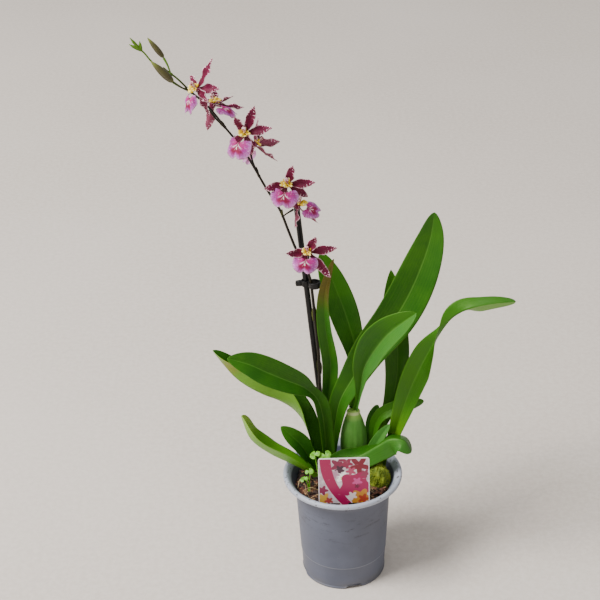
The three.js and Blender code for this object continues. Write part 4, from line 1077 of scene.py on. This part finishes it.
def drilled(piece):
    # cuts the ring of drain holes with a set of round bars, then drops the bars
    reach = (pot["hubRadius"] + 2 + pot["footRadius"] - pot["stepDepth"] - 3) / 2
    bars = []
    for number in range(pot["drainHoles"]):
        turn = (number + 0.5) / pot["drainHoles"] * 2 * math.pi
        bar = turned([[0, -4], [pot["drainRadius"], -4], [pot["drainRadius"], 12], [0, 12]], 28)
        bar["points"] = (bar["points"] + (reach * math.cos(turn), reach * math.sin(turn), 0)) * mm
        bars.append(bar)
    surface = together(bars)
    mesh = bpy.data.meshes.new("drain bars")
    mesh.from_pydata(surface["points"].tolist(), [], surface["faces"].tolist())
    weld(mesh)
    bar = bpy.data.objects.new("drain bars", mesh)
    bpy.context.scene.collection.objects.link(bar)
    cut = piece.modifiers.new("drain holes", "BOOLEAN")
    cut.object = bar
    cut.operation = "DIFFERENCE"
    cut.solver = "EXACT"
    bpy.context.view_layer.update()
    seen = piece.evaluated_get(bpy.context.evaluated_depsgraph_get())
    made = bpy.data.meshes.new_from_object(seen)
    piece.modifiers.clear()
    piece.data = made
    bpy.data.objects.remove(bar)
    return piece


potPiece = drilled(makePiece("pot_shell", makePot(), potMaterial(), "pot_plastic", "pot"))
print("pot done, faces:", len(potPiece.data.polygons))


mix = {"chips": 520, "grit": 900, "straws": 80, "spread": 45.5, "bed": -2.2}


def barkMaterial():
    # Damp bark: dark brown, with reddish and paler pieces told apart by their own tint, and a fibrous grain.
    material, tree, shader = newMaterial("bark")
    place = objectPlace(tree)
    grain = noise(tree, place, 420, 5, 0.7)
    colour = ramp(tree, tintOf(tree), [(0.0, shade(26, 16, 12)), (0.45, shade(56, 32, 22)),
                                       (0.75, shade(104, 54, 34)), (1.0, shade(184, 140, 98))])
    colour = coat(tree, colour, between(tree, grain, 0.42, 0.62, 0, 0.6), 20, 12, 9)
    colour = coat(tree, colour, between(tree, grain, 0.66, 0.76, 0, 0.5), 150, 120, 92)
    dress(tree, shader, colour, (grain, 0.3, 0.7, 0.7, 0.95), (grain, 0.0008, 0.9))
    return material


def strawMaterial():
    # dry roots and straws, pale with brown joints
    material, tree, shader = newMaterial("dry straw")
    fibre = noise(tree, uvPlace(tree, (30, 6, 1)), 1.0, 3)
    colour = mixColour(tree, between(tree, fibre, 0.35, 0.65), shade(196, 176, 128), shade(128, 98, 62))
    colour = coat(tree, colour, tintOf(tree), 92, 62, 40)
    dress(tree, shader, colour, (fibre, 0.3, 0.7, 0.6, 0.85), (fibre, 0.0002, 0.8))
    return material


def heapAt(x, y):
    # the mix's own height over the pot's floor plan: flat in the middle, falling 4 mm to the wall, and lumpy
    away = np.hypot(x, y)
    lumps = 0.9 * np.sin(x * 0.21 + 1.3) * np.sin(y * 0.26 + 0.4) + 0.5 * np.sin(x * 0.53 + y * 0.37)
    return mixTop / mm + mix["bed"] + lumps - 3.0 * ease(away, 40, 50)


def makeBed():
    # Rings about +Z whose height follows the heap, closed by a wall and a flat floor under it.
    radius = np.concatenate((np.linspace(0, 47.6, 36), [45.2, 38.0, 0]))
    turn = np.linspace(0, 2 * np.pi, 121)
    x, y = radius[:, None] * np.cos(turn), radius[:, None] * np.sin(turn)
    z = heapAt(x, y)
    z[0] = z[0, 0]
    z[-3], z[-2], z[-1] = 90, 8, 8
    z[:, -1] = z[:, 0]
    points = np.stack((x, y, z), axis=-1)
    points[:, -1] = points[:, 0]
    uv = np.stack(np.broadcast_arrays(turn, radius[:, None] / 50), axis=-1)
    return grid(points * mm, uv, np.full(points.shape[:2], 0.12))


def scattered(count, low, high, tints, stack):
    # Copies of one chip, six rings of six points: each is scaled, its rings roughened by a share, bent by the
    # square of its length, tilted, turned about +Z, and set on the heap at spread times the root of a share.
    row, column = np.linspace(-1, 1, 4), np.linspace(0, 2 * np.pi, 7)
    along = np.concatenate(([-1], row * 0.92, [1]))
    wide = np.array((0, 0.72, 1, 0.93, 0.6, 0))
    template = np.stack((np.broadcast_to(along[:, None], (6, 7)), wide[:, None] * np.cos(column),
                         wide[:, None] * np.sin(column)), axis=-1)
    template[:, -1] = template[:, 0]
    size = rng.uniform(low, high, (count, 3)) * (1, 0.55, 0.26)
    shape = template[None] * size[:, None, None] * (1 + rng.uniform(-0.22, 0.22, (count, 6, 1, 3)))
    shape[..., 2] += 0.12 * shape[..., 0] ** 2 / size[:, None, None, 0] * rng.uniform(-1, 1, (count, 1, 1))
    turn = rng.uniform(0, 2 * np.pi, count)
    tilt = rng.normal(0, 0.42, count)
    c, s, ct, st = np.cos(turn), np.sin(turn), np.cos(tilt), np.sin(tilt)
    zero, one = np.zeros(count), np.ones(count)
    spin = np.array(((c, -s, zero), (s, c, zero), (zero, zero, one))).transpose(2, 0, 1)
    lean = np.array(((ct, zero, st), (zero, one, zero), (-st, zero, ct))).transpose(2, 0, 1)
    shape = np.einsum("nij,nabj->nabi", spin @ lean, shape)
    away = mix["spread"] * np.sqrt(rng.uniform(0, 1, count))
    at = rng.uniform(0, 2 * np.pi, count)
    x, y = away * np.cos(at), away * np.sin(at)
    z = heapAt(x, y) + rng.uniform(*stack, count)
    points = (shape + np.stack((x, y, z), -1)[:, None, None]) * mm
    points[:, :, -1] = points[:, :, 0]
    a = np.arange(5)[:, None] * 7 + np.arange(6)
    quads = np.stack((a, a + 7, a + 8, a + 1), axis=-1).reshape(-1, 4)
    faces = quads[None] + (np.arange(count) * 42)[:, None, None]
    tint = np.repeat(rng.choice(tints, count), 42)
    uv = np.zeros((count * 42, 2))
    return {"points": points.reshape(-1, 3), "faces": faces.reshape(-1, 4), "uv": uv, "tint": tint}


def makeStraws():
    # Thin tubes on three points: a middle raised by an arch, and two ends let down into the heap.
    parts = []
    for number in range(mix["straws"]):
        at, away = rng.uniform(0, 2 * math.pi), mix["spread"] * math.sqrt(rng.uniform(0.1, 0.9))
        x, y = away * math.cos(at), away * math.sin(at)
        way, length = rng.uniform(0, 2 * math.pi), rng.uniform(7, 19)
        dx, dy = math.cos(way) * length / 2, math.sin(way) * length / 2
        far = max(math.hypot(x + dx, y + dy), math.hypot(x - dx, y - dy))
        if far > 47:
            x, y = x * 30 / far, y * 30 / far
        z = float(heapAt(np.array(x), np.array(y))) + 1.4
        arch = rng.uniform(0.5, 4.5)
        middle = [x + rng.uniform(-2, 2), y + rng.uniform(-2, 2), z + arch]
        line = [[x - dx, y - dy, z - 1.5], middle, [x + dx, y + dy, z - 1]]
        thick = rng.uniform(0.2, 0.5)
        straw = tube(line, [thick, thick * 0.8], 6, 12, lean=(0.1, 0.2, 1))
        straw["tint"][:] = rng.choice([0, 0, 0.5, 0.9])
        parts.append(straw)
    surface = together(parts)
    surface["points"] = surface["points"] * mm
    return surface


bark = barkMaterial()
makePiece("mix_bed", makeBed(), bark, "bark", "bark_mix")
chips = together([scattered(mix["chips"], 2.2, 5.2, [0.2, 0.35, 0.45, 0.6, 0.75, 0.85], (-0.8, 1.6)),
                  scattered(mix["grit"], 0.7, 1.9, [0.0, 0.2, 0.5, 0.8, 1.0], (0.4, 2.4))])
makePiece("bark_chips", chips, bark, "bark", "bark_mix", smooth=False)
makePiece("straws", makeStraws(), strawMaterial(), "bark", "bark_mix")
print("mix done")


moss = {"centre": [35, -5, 0], "radii": [13, 11, 20], "tufts": 1400}
seedlings = {
    "seedling_back": {"foot": [-23, -10, 0], "stalks": [[-28, -10, 37, 4.4], [-17, -11, 36, 5.2]]},
    "seedling_front": {"foot": [-34, -17, 0], "stalks": [[-33, -16, 21, 3.6], [-39, -17, 13, 3.2]]},
}
leafletGrowth = 1.35


def mossMaterial():
    # yellow-green tufts over a darker felt, with brown in the hollows
    material, tree, shader = newMaterial("moss")
    place = objectPlace(tree)
    cloud = noise(tree, place, 140, 4, 0.6)
    fine = noise(tree, place, 900, 3, 0.6)
    colour = mixColour(tree, between(tree, cloud, 0.35, 0.65), shade(76, 100, 14), shade(140, 156, 30))
    colour = coat(tree, colour, between(tree, fine, 0.5, 0.7, 0, 0.5), 60, 60, 14)
    colour = coat(tree, colour, times(tree, tintOf(tree), 0.7), 176, 190, 60)
    dress(tree, shader, colour, (fine, 0.3, 0.7, 0.75, 0.95), (fine, 0.001, 0.8))
    return material


def makeMoss():
    # An egg of felt whose radius swells and dips, and short pointed hairs of four sides all over it.
    high = np.linspace(-0.5, 0.5, 40)[:, None] * np.pi
    turn = np.linspace(0, 2 * np.pi, 61)[None]
    lumps = 0.9 + 0.09 * np.sin(5 * turn + 4 * high) + 0.07 * np.sin(9 * turn - 7 * high + 1)
    lumps = lumps + (1 - np.cos(high)) * (0.93 - lumps)
    ball = np.stack((np.cos(high) * np.cos(turn) * lumps, np.cos(high) * np.sin(turn) * lumps,
                     np.sin(high) * lumps), axis=-1)
    ball[:, -1] = ball[:, 0]
    ball[0], ball[-1] = (0, 0, -0.93), (0, 0, 0.93)
    radii, centre = np.array(moss["radii"], float), np.array(moss["centre"], float)
    uv = np.stack(np.broadcast_arrays(turn, high), axis=-1)
    felt = grid(ball * radii + centre, uv, np.zeros(ball.shape[:2]))
    count = moss["tufts"]
    way = unit(rng.normal(0, 1, (count, 3)))
    way[:, 2] = np.abs(way[:, 2]) - 0.1
    way = unit(way)
    foot = way * radii * 0.9 + centre
    grow = unit(way / radii * 10 + rng.normal(0, 0.35, (count, 3)))
    length = rng.uniform(1.0, 3.6, (count, 1))
    side = unit(np.cross(grow, (0.2, 0.3, 1)))
    other = np.cross(grow, side)
    turn = np.linspace(0, 2 * np.pi, 5)
    ring = side[:, None] * np.cos(turn)[:, None] + other[:, None] * np.sin(turn)[:, None]
    low = foot[:, None] - grow[:, None] * 0.5 + 0 * ring
    base = foot[:, None] + ring * 0.3
    tip = (foot + grow * length)[:, None] + 0 * ring
    hairs = np.stack((low, base, tip), axis=1)
    hairs[:, :, -1] = hairs[:, :, 0]
    a = np.arange(2)[:, None] * 5 + np.arange(4)
    quads = np.stack((a, a + 1, a + 6, a + 5), axis=-1).reshape(-1, 4)
    faces = quads[None] + (np.arange(count) * 15)[:, None, None]
    tufts = {"points": hairs.reshape(-1, 3), "faces": faces.reshape(-1, 4), "uv": np.zeros((count * 15, 2)),
             "tint": np.repeat(rng.uniform(0, 1, count), 15)}
    return onMix(together([felt, tufts]))


makePiece("moss_clump", makeMoss(), mossMaterial(), "moss", "moss_lump")


def sproutMaterial():
    # thin light green leaflets with a paler middle
    material, tree, shader = newMaterial("sprout")
    across = alongAcross(tree)[1]
    place = objectPlace(tree)
    cloud = noise(tree, place, 300, 3)
    edgeward = calc(tree, "ABSOLUTE", fromMiddle(tree, across))
    colour = mixColour(tree, between(tree, cloud, 0.35, 0.65), shade(84, 150, 20), shade(112, 172, 40))
    colour = coat(tree, colour, between(tree, edgeward, 0.0, 0.12, 0.3, 0), 170, 208, 110)
    dress(tree, shader, colour, (cloud, 0.3, 0.7, 0.4, 0.6), (cloud, 0.0004, 0.6))
    return material


sprout = sproutMaterial()
for seed, (name, plant) in enumerate(seedlings.items()):
    foot = np.array(plant["foot"], float)
    parts = [tube([foot - (0, 0, 3), foot, foot + (0, 0, 1.5)], [1.0, 1.4, 0.9], 10, 8)]
    for number, (x, y, z, radius) in enumerate(plant["stalks"]):
        end = np.array((x, y, z), float)
        radius = radius * leafletGrowth
        parts.append(tube([foot, foot * 0.4 + end * 0.6 + (0, 0, 3), end], [0.9, 0.6], 8, 18))
        for leaflet in range(3):
            turn = 2.1 * leaflet + 0.8 * number + seed
            away = np.array((math.cos(turn), math.sin(turn) * 0.75, 0.32 * math.sin(turn + 1)))
            spine = [end, end + away * radius * 0.55 + (0, 0, 0.5), end + away * radius]
            shape = {"spine": spine, "faces": [[0, -0.45, 1], [0, -0.45, 1]], "half": radius * 0.52,
                     "base": 0.3,
                     "broad": 0.6, "blunt": 0.45, "fold": [12, 4], "wave": 0.1, "phase": 0.3 * leaflet}
            parts.append(blade(shape, 14, 9, 0.4, 0.2))
    title = name.replace("seedling", "sprout")
    makePiece(title, onMix(together(parts)), sprout, "seedling", name)


# each bloom: middle across and up the card, radius, turn, depth of its lobes, tone
blooms = [
    (-5, 43, 6.5, 0.4, 0.3, (116, 28, 60)), (3, 45, 5, 1.4, 0.3, (128, 30, 62)),
    (-4, 38, 4, 2.0, 0.3, (58, 24, 44)), (15, 42, 8, 1.3, 0.42, (112, 8, 34)),
    (-1, 29, 5.5, 0.2, 0.3, (240, 238, 232)), (-1, 28, 2, 0, 0.2, (196, 190, 60)),
    (11, 19, 15, 0.9, 0.14, (146, 10, 72)), (13, 24, 4, 1.2, 0.3, (184, 66, 126)),
    (13, 19, 2.2, 0.2, 0.3, (96, 8, 46)), (-9, 33, 4, 1.1, 0.3, (170, 130, 150)),
    (7, 36, 4, 2.6, 0.35, (160, 60, 90)), (21, 33, 4, 0.6, 0.3, (130, 40, 70)),
    (17, 6, 8.5, 0.7, 0.25, (176, 120, 34)), (19, 4.5, 4.5, 0.1, 0.3, (150, 52, 26)),
    (8, 8, 4, 2.2, 0.3, (206, 190, 186)), (-20, 5, 6, 1.1, 0.3, (190, 150, 60)),
    (-21, 15, 4.5, 0.3, 0.3, (120, 30, 66)), (-15, 3, 3.5, 2.4, 0.3, (158, 60, 60)),
]


def cardMaterial():
    # A glossy print: white ground, a slanting magenta band at the left, a big magenta bloom low on the right,
    # darker and white blooms above it, and a yellow one in the corner. A bloom is a disc whose radius goes in
    # and out five times round its centre.
    material, tree, shader = newMaterial("printed card")
    place = objectPlace(tree)
    parts = partsOf(tree, place)
    x = times(tree, parts[0], 1000)
    z = times(tree, less(tree, parts[2], mixTop + 0.0012), 1000)
    cloud = noise(tree, place, 150, 4, 0.6)
    ripple = times(tree, less(tree, cloud, 0.5), 3.0)

    def bloom(cx, cz, radius, turn, depth=0.35):
        dx, dz = less(tree, x, cx), less(tree, z, cz)
        away = calc(tree, "SQRT", plus(tree, times(tree, dx, dx), times(tree, dz, dz)))
        angle = calc(tree, "ARCTAN2", dz, dx)
        petals = calc(tree, "COSINE", plus(tree, times(tree, angle, 5), turn))
        edge = times(tree, plus(tree, times(tree, petals, depth), 1), radius)
        return less(tree, plus(tree, away, times(tree, ripple, 0.5)), edge)

    colour = mixColour(tree, between(tree, cloud, 0.35, 0.65), shade(206, 198, 200), shade(172, 154, 162))
    for cx, cz, radius, turn, depth, tone in blooms:
        petals = between(tree, bloom(cx, cz, radius, turn, depth), -0.3, 0.3, 1, 0)
        colour = coat(tree, colour, petals, *tone)
    # the band runs down the left side, then slants away to the right as it comes to the lower edge
    fromTop = calc(tree, "DIVIDE", less(tree, 50.9, z), 50.9)
    shift = times(tree, calc(tree, "POWER", fromTop, 2.2), 20)
    acrossBand = less(tree, less(tree, x, shift), -25)
    inBand = times(tree, between(tree, acrossBand, 1.2, 1.6), between(tree, acrossBand, 12.6, 12.2))
    colour = coat(tree, colour, inBand, 146, 8, 70)
    frameEdge = calc(tree, "MINIMUM", less(tree, 25, calc(tree, "ABSOLUTE", x)), less(tree, 50.6, z))
    colour = coat(tree, colour, between(tree, frameEdge, 0.5, 0.8, 1, 0), 232, 226, 228)
    scratch = noise(tree, objectPlace(tree, (90, 90, 900)), 1.0, 3)
    colour = coat(tree, colour, between(tree, scratch, 0.68, 0.74, 0, 0.25), 240, 236, 236)
    dress(tree, shader, colour, (scratch, 0.4, 0.7, 0.28, 0.45), (scratch, 0.0001, 0.4))
    return material


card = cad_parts["plant_tag"]
card.data.materials.clear()
card.data.materials.append(cardMaterial())
print("card done")


studio = {
    "floor": 40, "skyStrength": 0.62, "keyPower": 300, "keySize": 1.7, "keyPlace": (-2.3, -0.9, 3.3),
    "fillPower": 8, "fillSize": 1.6, "fillPlace": (-2.0, -1.6, 1.2), "aimHeight": 0.25,
    "lampColour": (1.0, 0.98, 0.95), "skyColour": (1.0, 0.99, 0.98, 1),
}


def makeStudio():
    half = studio["floor"] / 2
    mesh = bpy.data.meshes.new("floor")
    corners = [(-half, -half, 0), (half, -half, 0), (half, half, 0), (-half, half, 0)]
    mesh.from_pydata(corners, [], [(0, 1, 2, 3)])
    floor = bpy.data.objects.new("floor", mesh)
    bpy.context.scene.collection.objects.link(floor)
    material, tree, shader = newMaterial("pale floor")
    grain = noise(tree, objectPlace(tree), 160, 5, 0.7)
    wide = noise(tree, objectPlace(tree), 1.6, 3, 0.5)
    colour = mixColour(tree, between(tree, grain, 0.35, 0.65), shade(200, 190, 180), shade(211, 202, 193))
    colour = coat(tree, colour, between(tree, wide, 0.3, 0.7, 0, 0.5), 216, 208, 200)
    feed(tree, shader.inputs["Base Color"], colour)
    shader.inputs["Roughness"].default_value = 0.85
    mesh.materials.append(material)
    world = bpy.data.worlds.new("studio")
    world.use_nodes = True
    world.node_tree.nodes["Background"].inputs[0].default_value = studio["skyColour"]
    world.node_tree.nodes["Background"].inputs[1].default_value = studio["skyStrength"]
    bpy.context.scene.world = world
    for name in ("key", "fill"):
        lamp = bpy.data.lights.new(name, "AREA")
        lamp.energy = studio[name + "Power"]
        lamp.size = studio[name + "Size"]
        lamp.color = studio["lampColour"]
        light = bpy.data.objects.new(name, lamp)
        place = Vector(studio[name + "Place"])
        way = place - Vector((0, 0, studio["aimHeight"]))
        light.matrix_world = Matrix.Translation(place) @ way.to_track_quat("Z", "Y").to_matrix().to_4x4()
        bpy.context.scene.collection.objects.link(light)


camera = {"place": (-0.0381, -1.2234, 1.0031), "down": 29.3, "roll": -1.6, "lens": 89.2}


def makeCamera():
    lens = bpy.data.cameras.new("camera")
    lens.lens = camera["lens"]
    lens.sensor_width = 36
    lens.clip_end = 60
    view = bpy.data.objects.new("camera", lens)
    view.matrix_world = (Matrix.Translation(camera["place"])
                         @ Matrix.Rotation(math.radians(90 - camera["down"]), 4, "X")
                         @ Matrix.Rotation(math.radians(camera["roll"]), 4, "Z"))
    bpy.context.scene.collection.objects.link(view)
    bpy.context.scene.camera = view


makeStudio()
makeCamera()
print("studio done")
